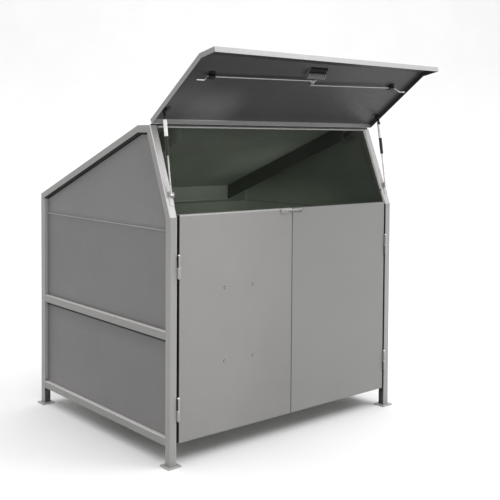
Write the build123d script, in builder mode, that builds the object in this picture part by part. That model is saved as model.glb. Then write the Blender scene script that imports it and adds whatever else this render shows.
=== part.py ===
from build123d import *
import math
import os

# ---------------------------------------------------------------------------
# Bin store: two welded side frames of square tube, sheet panels, a sloping
# roof, a pair of front doors and a gas-strut lid over the front slope.
# Frame: +X to the right seen from the front, +Y to the rear, +Z up,
# origin on the ground in the middle of the footprint. Millimetres.
# "s" below is the depth behind the front face of the posts.
# ---------------------------------------------------------------------------

# overall frame
W = 1575.0              # over the posts
D = 1330.0              # over the posts
TUBE = 40.0             # square hollow section
WALL = 3.0
TUBE_R = 4.5            # rounded corners of the tube
PLATE = 76.0            # base plate side
PLATE_T = 6.0
ANCHOR_R = 5.0          # anchor hole radius
ANCHOR_OFF = 29.0       # anchor hole from the post centre, each way
Z_BEND = 1200.0         # front post turns back here
S_RIDGE = 176.0         # ridge front corner
Z_RIDGE = 1640.0
S_FLAT = 288.0          # rear end of the flat top
Z_EAVE = 1246.0         # top rear corner

# rails and panels
BOTTOM_Z = (97.0, 137.0)
MID_Z = (610.0, 650.0)
REAR_TOP_Z = (1196.0, 1236.0)
ROOF_DROP = 6.0         # roof sheet below the top of the roof rails
BEND_R = 2.2            # outside radius of folded sheet edges
SHEET = 2.0
RECESS = 22.0           # side panels sit this far in from the outer face
SEAM_Z = 1138.0
LAP = 18.0

# roof tray
TRAY_HALF = 585.0
TRAY_DROP = 97.0
TRAY_T = 1.5
TRAY_NOSE = 200.0       # front end of its side folds, under the ridge plate

# doors
DOOR_Z = (110.0, 1210.0)
DOOR_GAP = 13.5         # hinge side
SEAM = 4.0              # between the doors
DOOR_DEEP = 30.0
HINGE_R = 8.0
HINGE_PROUD = 6.0       # hinge axis in front of the door face
HINGE_Z = (905.0, 218.0)
HINGE_LOW = 55.0        # lower half
HINGE_UP = 57.0         # upper half
PIN_R = 4.0
FIT = 0.05

# lid, open
PHI = 36.5              # panel above horizontal
LID_L = 491.0
LIP_L = 113.5
LIP_BEND = 24.8
FLANGE = 25.0
LID_T = 2.0
AXIS_S, AXIS_Z = 174.0, 1632.0
AXIS_U, AXIS_N = -21.0, 27.3     # hinge axis in lid coordinates
KNUCKLE_R = 5.0
LEAF_T = 2.0
LID_PIN_R = 2.0
KNUCKLE_L = 62.0

# gas struts
STRUT_X = {-1: -762.0, 1: 774.0}
STRUT_U, STRUT_N = 92.0, 13.9    # pivot on the lid
STRUT_LOW = 110.0                # frame pivot above the bend, along the slope
STRUT_OFF = 12.3                 # frame pivot in front of the slope face
CYL_R = 9.0
CYL_A, CYL_B = 30.0, 220.0
LOW_END = 20.0                   # length of the lower end fitting
ROD_R = 4.0

# lid lock
LOCK_X, LOCK_V = 28.0, 356.0
CAM_R = 17.5
LROD_R = 4.0
LROD_N = 13.0
TIP_N = 38.0
TIP_X = 738.0
GUIDE_X = 640.0
CUP_X = (-66.0, 56.0)
CUP_RIM = 4.0
# section of the recessed pull (distance from the hinge end, depth): deep at the
# finger side, shallow where the door tops and latch lie behind it with the lid shut
CUP_OUT = [(400.0, 2.0), (403.0, 30.0), (424.0, 30.0), (438.0, 12.0), (459.0, 9.0), (462.0, 2.0)]
CUP_INSIDE = [(404.0, 1.0), (406.3, 27.5), (422.6, 27.5), (436.4, 9.6), (455.8, 6.8), (458.0, 1.0)]

os.makedirs("parts", exist_ok=True)
HW = W / 2
IN = HW - TUBE


def Y(s):
    return s - D / 2


def P(s, z):
    return (Y(s), z)


# --- side frame outline, front foot to rear foot, and its inward offsets ----
OUT = [(0, PLATE_T), (0, Z_BEND), (S_RIDGE, Z_RIDGE), (S_FLAT, Z_RIDGE), (D, Z_EAVE), (D, PLATE_T)]


def offset_outline(d):
    lines = []
    for a, b in zip(OUT, OUT[1:]):
        dx, dz = b[0] - a[0], b[1] - a[1]
        n = math.hypot(dx, dz)
        nx, nz = dz / n, -dx / n
        lines.append(((a[0] + nx * d, a[1] + nz * d), (dx / n, dz / n)))
    pts = [(OUT[0][0] + d, OUT[0][1])]
    for (p, u), (q, v) in zip(lines, lines[1:]):
        det = u[0] * -v[1] + v[0] * u[1]
        t = ((q[0] - p[0]) * -v[1] + v[0] * (q[1] - p[1])) / det
        pts.append((p[0] + u[0] * t, p[1] + u[1] * t))
    pts.append((OUT[-1][0] - d, OUT[-1][1]))
    return pts


O0, O3, O37, O40 = (offset_outline(d) for d in (0, WALL, TUBE - WALL, TUBE))

# front slope: unit vectors down the slope and out of its face
SLOPE = math.atan2(Z_RIDGE - Z_BEND, S_RIDGE)
UPS, UPZ = math.cos(SLOPE), math.sin(SLOPE)
FS, FZ = -math.sin(SLOPE), math.cos(SLOPE)


def slope_pt(up, out):
    return (up * UPS + out * FS, Z_BEND + up * UPZ + out * FZ)


# lid coordinates: u along the panel away from the hinge, n to its inside
A = math.radians(PHI)
B = math.radians(PHI - LIP_BEND)
US, UZ = -math.cos(A), math.sin(A)
NS, NZ = -math.sin(A), -math.cos(A)
BASE_S = AXIS_S - AXIS_U * US - AXIS_N * NS
BASE_Z = AXIS_Z - AXIS_U * UZ - AXIS_N * NZ
CLOSE = PHI + math.degrees(SLOPE)


def lid_pt(u, n):
    return (BASE_S + u * US + n * NS, BASE_Z + u * UZ + n * NZ)


def lip_pt(w, n):
    ks, kz = lid_pt(LID_L, 0)
    return (ks - w * math.cos(B) - n * math.sin(B), kz + w * math.sin(B) - n * math.cos(B))


LID = Plane(origin=(0, Y(BASE_S), BASE_Z), x_dir=(1, 0, 0), z_dir=(0, NS, NZ))

# slot in the slope post for the lock rods: the rod tip with the lid shut
TIP_UP = math.hypot(S_RIDGE, Z_RIDGE - Z_BEND)
AX_UP = (AXIS_S * UPS) + (AXIS_Z - Z_BEND) * UPZ
AX_OUT = AXIS_S * FS + (AXIS_Z - Z_BEND) * FZ
KEEP_UP = AX_UP - (LOCK_V - AXIS_U)
KEEP_OUT = AX_OUT + (AXIS_N - TIP_N)
print("closing angle", round(CLOSE, 3), "keeper", round(KEEP_UP, 2), round(KEEP_OUT, 2))

SIDES = (("left", -1, -HW), ("right", 1, IN))

# ---------------------------------------------------------------------------
# side frames: mitred square tube
# ---------------------------------------------------------------------------
for side, sx, x0 in SIDES:
    for i, name in enumerate(("front_post", "slope_post", "ridge_rail", "roof_rail", "rear_post")):
        with BuildPart() as member:
            with BuildSketch(Plane.YZ.offset(x0)):
                with BuildLine():
                    Polyline(P(*O0[i]), P(*O0[i + 1]), P(*O40[i + 1]), P(*O40[i]), close=True)
                make_face()
            extrude(amount=TUBE)
            run = Axis((0, 0, 0), (0, O0[i + 1][0] - O0[i][0], O0[i + 1][1] - O0[i][1]))
            fillet(member.edges().filter_by(run), TUBE_R)
            with BuildSketch(Plane.YZ.offset(x0 + WALL)):
                with BuildLine():
                    Polyline(P(*O3[i]), P(*O3[i + 1]), P(*O37[i + 1]), P(*O37[i]), close=True)
                make_face()
            extrude(amount=TUBE - 2 * WALL, mode=Mode.SUBTRACT)
            if name == "slope_post":
                # hole in the inner wall for the lid lock rod
                ks, kz = slope_pt(KEEP_UP, KEEP_OUT)
                with BuildSketch(Plane.YZ.offset(x0 + TUBE - WALL - 1 if sx < 0 else x0 - 1)):
                    with Locations(P(ks, kz)):
                        Circle(6.5)
                extrude(amount=WALL + 2, mode=Mode.SUBTRACT)
        member.part.label = f"{name}_{side}"
        export_step(member.part, f"parts/{name}_{side}.step")

    for name, (z0, z1) in (("mid_rail", MID_Z), ("bottom_rail", BOTTOM_Z)):
        with BuildPart() as rail:
            with BuildSketch(Plane.YZ.offset(x0)):
                with BuildLine():
                    Polyline(P(TUBE, z0), P(D - TUBE, z0), P(D - TUBE, z1), P(TUBE, z1), close=True)
                make_face()
            extrude(amount=TUBE)
            fillet(rail.edges().filter_by(Axis.Y), TUBE_R)
            with BuildSketch(Plane.YZ.offset(x0 + WALL)):
                with BuildLine():
                    Polyline(P(TUBE, z0 + WALL), P(D - TUBE, z0 + WALL), P(D - TUBE, z1 - WALL), P(TUBE, z1 - WALL), close=True)
                make_face()
            extrude(amount=TUBE - 2 * WALL, mode=Mode.SUBTRACT)
        rail.part.label = f"{name}_{side}"
        export_step(rail.part, f"parts/{name}_{side}.step")

    # side sheets, set into the openings of the frame
    xp = -HW + RECESS if sx < 0 else HW - RECESS - SHEET
    top_edge = SEAM_Z
    with BuildPart() as lower:
        with BuildSketch(Plane.YZ.offset(xp)):
            with BuildLine():
                Polyline(P(TUBE, BOTTOM_Z[1]), P(D - TUBE, BOTTOM_Z[1]), P(D - TUBE, MID_Z[0]), P(TUBE, MID_Z[0]), close=True)
            make_face()
        extrude(amount=SHEET)
    lower.part.label = f"side_panel_lower_{side}"
    export_step(lower.part, f"parts/side_panel_lower_{side}.step")

    with BuildPart() as middle:
        with BuildSketch(Plane.YZ.offset(xp)):
            with BuildLine():
                Polyline(P(TUBE, MID_Z[1]), P(D - TUBE, MID_Z[1]), P(D - TUBE, top_edge), P(TUBE, top_edge), close=True)
            make_face()
        extrude(amount=SHEET)
        # top edge folded outwards as a small drip ledge
        with BuildSketch(Plane.YZ.offset(xp - 5 if sx < 0 else xp + SHEET)):
            with BuildLine():
                Polyline(P(TUBE, top_edge - SHEET), P(D - TUBE, top_edge - SHEET), P(D - TUBE, top_edge), P(TUBE, top_edge), close=True)
            make_face()
        extrude(amount=5)
    middle.part.label = f"side_panel_middle_{side}"
    export_step(middle.part, f"parts/side_panel_middle_{side}.step")

    # upper sheet laps behind the top edge of the middle one
    with BuildPart() as upper:
        with BuildSketch(Plane.YZ.offset(xp + SHEET if sx < 0 else xp - SHEET)):
            with BuildLine():
                Polyline(P(TUBE, SEAM_Z - LAP), P(*O40[1]), P(*O40[2]), P(*O40[3]), P(*O40[4]), P(D - TUBE, SEAM_Z - LAP), close=True)
            make_face()
        extrude(amount=SHEET)
    upper.part.label = f"side_panel_upper_{side}"
    export_step(upper.part, f"parts/side_panel_upper_{side}.step")

# ---------------------------------------------------------------------------
# rear frame and sheets
# ---------------------------------------------------------------------------
for name, (z0, z1) in (("rear_top_rail", REAR_TOP_Z), ("rear_mid_rail", MID_Z), ("rear_bottom_rail", BOTTOM_Z)):
    with BuildPart() as rear_rail:
        with BuildSketch(Plane.YZ.offset(-IN)):
            with BuildLine():
                Polyline(P(D - TUBE, z0), P(D, z0), P(D, z1), P(D - TUBE, z1), close=True)
            make_face()
        extrude(amount=2 * IN)
        fillet(rear_rail.edges().filter_by(Axis.X), TUBE_R)
        with BuildSketch(Plane.YZ.offset(-IN)):
            with BuildLine():
                Polyline(P(D - TUBE + WALL, z0 + WALL), P(D - WALL, z0 + WALL), P(D - WALL, z1 - WALL), P(D - TUBE + WALL, z1 - WALL), close=True)
            make_face()
        extrude(amount=2 * IN, mode=Mode.SUBTRACT)
    rear_rail.part.label = name
    export_step(rear_rail.part, f"parts/{name}.step")

# one rear sheet on the inside of the rear rails
with BuildPart() as rear_panel:
    with BuildSketch(Plane.XZ.offset(-Y(D - TUBE))):
        with BuildLine():
            Polyline((-IN, BOTTOM_Z[0] + 5), (IN, BOTTOM_Z[0] + 5), (IN, REAR_TOP_Z[1] - 5), (-IN, REAR_TOP_Z[1] - 5), close=True)
        make_face()
    extrude(amount=SHEET)
rear_panel.part.label = "rear_panel"
export_step(rear_panel.part, "parts/rear_panel.step")

# base plates, one under each post, each with an anchor hole in its outer corner
with BuildPart() as plates:
    with BuildSketch(Plane.XY):
        with Locations(*[(sx * (HW - TUBE / 2), sy * (D - TUBE) / 2) for sx in (-1, 1) for sy in (-1, 1)]):
            RectangleRounded(PLATE, PLATE, 3)
        with Locations(*[(sx * (HW - TUBE / 2 + ANCHOR_OFF), sy * ((D - TUBE) / 2 + ANCHOR_OFF)) for sx in (-1, 1) for sy in (-1, 1)]):
            Circle(ANCHOR_R, mode=Mode.SUBTRACT)
    extrude(amount=PLATE_T)
plates.part.label = "base_plates"
export_step(plates.part, "parts/base_plates.step")

# ---------------------------------------------------------------------------
# ridge and roof
# ---------------------------------------------------------------------------
with BuildPart() as ridge:
    with BuildSketch(Plane.YZ.offset(-IN)):
        with BuildLine():
            Polyline(P(182, Z_RIDGE), P(S_FLAT, Z_RIDGE), P(S_FLAT, Z_RIDGE - 12), P(S_FLAT - 3, Z_RIDGE - 12),
                     P(S_FLAT - 3, Z_RIDGE - 3), P(182, Z_RIDGE - 3), close=True)
        make_face()
    extrude(amount=2 * IN)
ridge.part.label = "ridge_channel"
export_step(ridge.part, "parts/ridge_channel.step")

ROOF = math.atan2(Z_RIDGE - Z_EAVE, D - S_FLAT)


def roof_z(s, below):
    return Z_RIDGE - (s - S_FLAT) * math.tan(ROOF) - below / math.cos(ROOF)


UNDER = ROOF_DROP + SHEET
with BuildPart() as roof:
    with BuildSketch(Plane.YZ.offset(-IN)):
        with BuildLine():
            Polyline(P(S_FLAT, roof_z(S_FLAT, ROOF_DROP)), P(D, roof_z(D, ROOF_DROP)), P(D, roof_z(D, UNDER)), P(S_FLAT, roof_z(S_FLAT, UNDER)), close=True)
        make_face()
    extrude(amount=2 * IN)
roof.part.label = "roof_sheet"
export_step(roof.part, "parts/roof_sheet.step")

# stiffening tray under the roof sheet, with deep folded edges at the sides and rear
TR0, TR1 = S_FLAT + 6, D - TUBE - 9
with BuildPart() as tray:
    with BuildSketch(Plane.YZ.offset(-TRAY_HALF)):
        with BuildLine():
            Polyline(P(TR0, roof_z(TR0, UNDER)), P(TR1, roof_z(TR1, UNDER)), P(TR1, roof_z(TR1, UNDER + TRAY_T)), P(TR0, roof_z(TR0, UNDER + TRAY_T)), close=True)
        make_face()
    extrude(amount=2 * TRAY_HALF)
    for x in (-TRAY_HALF, TRAY_HALF - TRAY_T):
        with BuildSketch(Plane.YZ.offset(x)):
            with BuildLine():
                Polyline(P(TR0, roof_z(TR0, UNDER)), P(TR1, roof_z(TR1, UNDER)), P(TR1, roof_z(TR1, UNDER) - TRAY_DROP),
                         P(TRAY_NOSE, roof_z(TRAY_NOSE, UNDER) - TRAY_DROP), P(TRAY_NOSE, Z_RIDGE - 6), P(S_FLAT - 8, Z_RIDGE - 6),
                         P(S_FLAT - 8, Z_RIDGE - 14), P(TR0, Z_RIDGE - 14), close=True)
            make_face()
        extrude(amount=TRAY_T)
    with BuildSketch(Plane.YZ.offset(-TRAY_HALF)):
        zt = roof_z(TR1, UNDER)
        with BuildLine():
            Polyline(P(TR1 - TRAY_T, zt), P(TR1, zt - 0.2), P(TR1, zt - TRAY_DROP), P(TR1 - 6, zt - TRAY_DROP),
                     P(TR1 - 6, zt - TRAY_DROP + 6), P(TR1 - TRAY_T, zt - TRAY_DROP + 6), close=True)
        make_face()
    extrude(amount=2 * TRAY_HALF)
tray.part.label = "roof_tray"
export_step(tray.part, "parts/roof_tray.step")

# ---------------------------------------------------------------------------
# lid hinge: two lengths of continuous hinge, butted in the middle
# ---------------------------------------------------------------------------
LENGTHS = ((-745.0, -1.0), (1.0, 745.0))
COUNT = 12


def knuckles(start, first):
    """Start of every second knuckle of one length."""
    return [start + KNUCKLE_L * k for k in range(first, COUNT, 2)]


FIXED_K = [x for a, b in LENGTHS for x in knuckles(a, 0)]
MOVING_K = [x for a, b in LENGTHS for x in knuckles(a, 1)]
GAP = 0.4

with BuildPart() as fixed_leaf:
    # leaf under the ridge plate
    for a, b in LENGTHS:
        with BuildSketch(Plane.YZ.offset(a)):
            with BuildLine():
                Polyline(P(AXIS_S + 6.2, AXIS_Z + KNUCKLE_R - LEAF_T), P(AXIS_S + 34, AXIS_Z + KNUCKLE_R - LEAF_T),
                         P(AXIS_S + 34, AXIS_Z + KNUCKLE_R), P(AXIS_S + 6.2, AXIS_Z + KNUCKLE_R), close=True)
            make_face()
        extrude(amount=b - a)
    for x in FIXED_K:
        with BuildSketch(Plane.YZ.offset(x + GAP / 2)):
            with Locations(P(AXIS_S, AXIS_Z)):
                Circle(KNUCKLE_R)
            with BuildLine():
                Polyline(P(AXIS_S, AXIS_Z + KNUCKLE_R - LEAF_T), P(AXIS_S + 7, AXIS_Z + KNUCKLE_R - LEAF_T),
                         P(AXIS_S + 7, AXIS_Z + KNUCKLE_R), P(AXIS_S, AXIS_Z + KNUCKLE_R), close=True)
            make_face()
            with Locations(P(AXIS_S, AXIS_Z)):
                Circle(LID_PIN_R, mode=Mode.SUBTRACT)
        extrude(amount=KNUCKLE_L - GAP)
fixed_leaf.part.label = "lid_hinge_fixed_leaf"
export_step(fixed_leaf.part, "parts/lid_hinge_fixed_leaf.step")

KN = AXIS_N - KNUCKLE_R
with BuildPart() as moving_leaf:
    # cranked leaf: along the hinge line, then up the outside of the rear flange
    for a, b in LENGTHS:
        with BuildSketch(Plane.YZ.offset(a)):
            with BuildLine():
                Polyline(P(*lid_pt(AXIS_U + 6.2, KN)), P(*lid_pt(-LEAF_T, KN)), P(*lid_pt(-LEAF_T, 5)), P(*lid_pt(0, 5)),
                         P(*lid_pt(0, KN + LEAF_T)), P(*lid_pt(AXIS_U + 6.2, KN + LEAF_T)), close=True)
            make_face()
        extrude(amount=b - a)
    for x in MOVING_K:
        with BuildSketch(Plane.YZ.offset(x + GAP / 2)):
            with Locations(P(AXIS_S, AXIS_Z)):
                Circle(KNUCKLE_R)
            with BuildLine():
                Polyline(P(*lid_pt(AXIS_U, KN)), P(*lid_pt(AXIS_U + 7, KN)), P(*lid_pt(AXIS_U + 7, KN + LEAF_T)), P(*lid_pt(AXIS_U, KN + LEAF_T)), close=True)
            make_face()
            with Locations(P(AXIS_S, AXIS_Z)):
                Circle(LID_PIN_R + FIT, mode=Mode.SUBTRACT)
        extrude(amount=KNUCKLE_L - GAP)
moving_leaf.part.label = "lid_hinge_moving_leaf"
export_step(moving_leaf.part, "parts/lid_hinge_moving_leaf.step")

with BuildPart() as lid_pin:
    for a, b in LENGTHS:
        with BuildSketch(Plane.YZ.offset(a + 0.2)):
            with Locations(P(AXIS_S, AXIS_Z)):
                Circle(LID_PIN_R)
        extrude(amount=b - a - 0.4)
lid_pin.part.label = "lid_hinge_pins"
export_step(lid_pin.part, "parts/lid_hinge_pins.step")

# ---------------------------------------------------------------------------
# lid: folded pan with a front lip
# ---------------------------------------------------------------------------
tk = math.tan(math.radians(LIP_BEND) / 2)
with BuildPart() as lid:
    t = LID_T
    with BuildSketch(Plane.YZ.offset(-HW)):
        with BuildLine():
            Polyline(P(*lid_pt(0, FLANGE)), P(*lid_pt(0, 0)), P(*lid_pt(LID_L, 0)), P(*lip_pt(LIP_L, 0)), P(*lip_pt(LIP_L, FLANGE)),
                     P(*lip_pt(LIP_L - t, FLANGE)), P(*lip_pt(LIP_L - t, t)), P(*lid_pt(LID_L - t * tk, t)), P(*lid_pt(t, t)),
                     P(*lid_pt(t, FLANGE)), close=True)
        make_face()
    extrude(amount=W)
    for x in (-HW, HW - t):
        with BuildSketch(Plane.YZ.offset(x)):
            with BuildLine():
                Polyline(P(*lid_pt(0, FLANGE)), P(*lid_pt(0, 0)), P(*lid_pt(LID_L, 0)), P(*lip_pt(LIP_L, 0)),
                         P(*lip_pt(LIP_L, FLANGE)), P(*lid_pt(LID_L - FLANGE * tk, FLANGE)), close=True)
            make_face()
        extrude(amount=t)
    # rounded outside of the folds: rear, sides and front lip
    outer = [Edge.make_line((x, Y(a[0]), a[1]), (x, Y(b[0]), b[1])) for x in (-HW, HW)
             for a, b in ((lid_pt(0, 0), lid_pt(LID_L, 0)), (lid_pt(LID_L, 0), lip_pt(LIP_L, 0)))]
    outer += [Edge.make_line((-HW, Y(a[0]), a[1]), (HW, Y(a[0]), a[1])) for a in (lid_pt(0, 0), lip_pt(LIP_L, 0))]
    mids = [e @ 0.5 for e in outer]
    folds = [e for e in lid.edges() if any((e @ 0.5 - m).length < 0.5 for m in mids)]
    fillet(folds, 1.8)
    # opening for the recessed pull and hole for the lock spindle
    with BuildSketch(LID.offset(-1)):
        with Locations(((CUP_X[0] + CUP_X[1]) / 2, (CUP_OUT[0][0] + CUP_OUT[-1][0]) / 2)):
            Rectangle(CUP_X[1] - CUP_X[0] - 2 * CUP_RIM, CUP_OUT[-1][0] - CUP_OUT[0][0] - 2 * CUP_RIM)
        with Locations((LOCK_X, LOCK_V)):
            Circle(11)
    extrude(amount=t + 2, mode=Mode.SUBTRACT)
lid.part.label = "lid_panel"
export_step(lid.part, "parts/lid_panel.step")

# recessed pull: cup behind the opening, its rim clamped to the inside of the panel
with BuildPart() as cup:
    with BuildSketch(Plane.YZ.offset(CUP_X[0])):
        with BuildLine():
            Polyline(*[P(*lid_pt(u, n)) for u, n in CUP_OUT], close=True)
        make_face()
    extrude(amount=CUP_X[1] - CUP_X[0])
    fillet(cup.edges().filter_by(Axis.X).sort_by_distance(LID.from_local_coords((-5, 403, 30)))[0:1], 3)
    fillet(cup.edges().filter_by(Axis.X).sort_by_distance(LID.from_local_coords((-5, 424, 30)))[0:1], 3)
    with BuildSketch(Plane.YZ.offset(CUP_X[0] + CUP_RIM)):
        with BuildLine():
            Polyline(*[P(*lid_pt(u, n)) for u, n in CUP_INSIDE], close=True)
        make_face()
    extrude(amount=CUP_X[1] - CUP_X[0] - 2 * CUP_RIM, mode=Mode.SUBTRACT)
cup.part.label = "pull_cup"
export_step(cup.part, "parts/pull_cup.step")

# lock: bush fixed in the panel, T-handle and spindle outside, cam plate inside
with BuildPart() as bush:
    with BuildSketch(LID.offset(-7)):
        with Locations((LOCK_X, LOCK_V)):
            Circle(19)
            Circle(6 + FIT, mode=Mode.SUBTRACT)
    extrude(amount=7)
    with BuildSketch(LID):
        with Locations((LOCK_X, LOCK_V)):
            Circle(11)
            Circle(6 + FIT, mode=Mode.SUBTRACT)
    extrude(amount=LID_T)
    with BuildSketch(LID.offset(LID_T)):
        with Locations((LOCK_X, LOCK_V)):
            RegularPolygon(15, 6)
            Circle(6 + FIT, mode=Mode.SUBTRACT)
    extrude(amount=5)
bush.part.label = "lock_bush"
export_step(bush.part, "parts/lock_bush.step")

with BuildPart() as handle:
    with BuildSketch(LID.offset(-24)):
        with Locations((LOCK_X, LOCK_V)):
            SlotOverall(86, 16)
    extrude(amount=13)
    fillet(handle.edges().group_by(SortBy.LENGTH)[-1], 3)
    with BuildSketch(LID.offset(-11)):
        with Locations((LOCK_X, LOCK_V)):
            Circle(11)
    extrude(amount=3.6)
    with BuildSketch(LID.offset(-7.4)):
        with Locations((LOCK_X, LOCK_V)):
            Circle(6)
    extrude(amount=7.4 + 7.4)
handle.part.label = "t_handle"
export_step(handle.part, "parts/t_handle.step")

with BuildPart() as cam:
    with BuildSketch(LID.offset(7.4)):
        with Locations((LOCK_X, LOCK_V)):
            SlotOverall(2 * CAM_R + 18, 18, rotation=90)
    extrude(amount=1.6)
cam.part.label = "lock_cam"
export_step(cam.part, "parts/lock_cam.step")

# plastic guides for the lock rods, screwed to the panel near its ends
with BuildPart() as guides:
    for sx in (-1, 1):
        with BuildSketch(LID.offset(LID_T)):
            with Locations((sx * GUIDE_X, LOCK_V)):
                RectangleRounded(34, 48, 4)
        extrude(amount=5)
        with BuildSketch(LID.offset(LID_T + 5)):
            with Locations((sx * GUIDE_X, LOCK_V)):
                RectangleRounded(34, 24, 4)
        extrude(amount=15)
    for sx in (-1, 1):
        with BuildSketch(Plane(origin=LID.from_local_coords((sx * GUIDE_X - 25, LOCK_V, LROD_N)), z_dir=(1, 0, 0))):
            Circle(LROD_R + 0.1)
        extrude(amount=50, mode=Mode.SUBTRACT)
guides.part.label = "rod_guides"
export_step(guides.part, "parts/rod_guides.step")

# lock rods: straight from the cam to the guide, then cranked inwards to the tip
for side, sx in (("left", -1), ("right", 1)):
    v_in = LOCK_V - sx * CAM_R
    pts = [(LOCK_X + sx * 4, v_in, LROD_N + 0.6), (sx * 600, LOCK_V, LROD_N),
           (sx * 668, LOCK_V, LROD_N), (sx * 694, LOCK_V, TIP_N), (sx * TIP_X, LOCK_V, TIP_N)]
    away = LID.from_local_coords(pts[1]) - LID.from_local_coords(pts[0])
    with BuildPart() as rod:
        with BuildLine(LID):
            FilletPolyline(*pts, radius=9)
        with BuildSketch(Plane(origin=LID.from_local_coords(pts[0]), z_dir=away)):
            Circle(LROD_R)
        sweep()
        # flattened end with its rivet, lying over the cam plate
        with BuildSketch(LID.offset(9.4)):
            with Locations((LOCK_X, v_in)):
                Circle(8)
            with Locations((LOCK_X + sx * 6, v_in)):
                Rectangle(12, 12)
        extrude(amount=4.5)
        with BuildSketch(LID.offset(13.9)):
            with Locations((LOCK_X, v_in)):
                Circle(4.5)
        extrude(amount=2.2)
    rod.part.label = f"lock_rod_{side}"
    export_step(rod.part, f"parts/lock_rod_{side}.step")

# ---------------------------------------------------------------------------
# gas struts
# ---------------------------------------------------------------------------
p1s, p1z = lid_pt(STRUT_U, STRUT_N)
p2s, p2z = slope_pt(STRUT_LOW, STRUT_OFF)
LOPEN = math.hypot(p2s - p1s, p2z - p1z)
DS, DZ = (p2s - p1s) / LOPEN, (p2z - p1z) / LOPEN
LSHUT = AX_UP - (STRUT_U - AXIS_U) - STRUT_LOW
print("strut open", round(LOPEN, 3), "shut", round(LSHUT, 3), "stroke", round(LOPEN - LSHUT, 3))
print("strut off-plane when shut", round(AX_OUT + AXIS_N - STRUT_N - STRUT_OFF, 3))
open_dir = math.degrees(math.atan2(DZ, DS))
shut_dir = math.degrees(math.atan2(-UPZ, -UPS))
print("strut turn", round(open_dir - shut_dir, 3), "relative to lid", round(open_dir - shut_dir + CLOSE, 3))
print("strut pivot", round(Y(p1s), 3), round(p1z, 3), "dir", round(DS, 6), round(DZ, 6))
print("lid axis", Y(AXIS_S), AXIS_Z)


def along(d):
    return (p1s + DS * d, p1z + DZ * d)


with BuildPart() as lid_brackets:
    for sx in (-1, 1):
        X = STRUT_X[sx]
        xa = min(X - sx * 12, X - sx * 9)
        with BuildSketch(Plane.YZ.offset(xa)):
            with BuildLine():
                Polyline(P(*lid_pt(STRUT_U - 15, LID_T)), P(*lid_pt(STRUT_U + 15, LID_T)), P(*lid_pt(STRUT_U + 8, STRUT_N + 8)),
                         P(*lid_pt(STRUT_U - 8, STRUT_N + 8)), close=True)
            make_face()
        extrude(amount=3)
        with BuildSketch(LID.offset(LID_T)):
            with Locations((X - sx * 23, STRUT_U)):
                RectangleRounded(28, 30, 3)
        extrude(amount=3)
        with BuildSketch(Plane.YZ.offset(min(X - sx * 9, X + sx * 10))):
            with Locations(P(p1s, p1z)):
                Circle(4)
        extrude(amount=19)
        with BuildSketch(Plane.YZ.offset(min(X + sx * 7.4, X + sx * 10))):
            with Locations(P(p1s, p1z)):
                Circle(6)
        extrude(amount=2.6)
lid_brackets.part.label = "strut_lid_brackets"
export_step(lid_brackets.part, "parts/strut_lid_brackets.step")

with BuildPart() as post_brackets:
    for sx in (-1, 1):
        X = STRUT_X[sx]
        xa = min(X - sx * 12, X - sx * 9)
        with BuildSketch(Plane.YZ.offset(xa)):
            with BuildLine():
                Polyline(P(*slope_pt(STRUT_LOW - 18, 0)), P(*slope_pt(STRUT_LOW + 18, 0)), P(*slope_pt(STRUT_LOW + 9, STRUT_OFF + 8)),
                         P(*slope_pt(STRUT_LOW - 9, STRUT_OFF + 8)), close=True)
            make_face()
        extrude(amount=3)
        # foot of the bracket, longer below the pivot
        with BuildSketch(Plane.YZ.offset(min(X - sx * 12, X + sx * 11))):
            with BuildLine():
                Polyline(P(*slope_pt(STRUT_LOW - 52, 0)), P(*slope_pt(STRUT_LOW + 18, 0)), P(*slope_pt(STRUT_LOW + 18, 3)),
                         P(*slope_pt(STRUT_LOW - 52, 3)), close=True)
            make_face()
        extrude(amount=23)
post_brackets.part.label = "strut_post_brackets"
export_step(post_brackets.part, "parts/strut_post_brackets.step")

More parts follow.
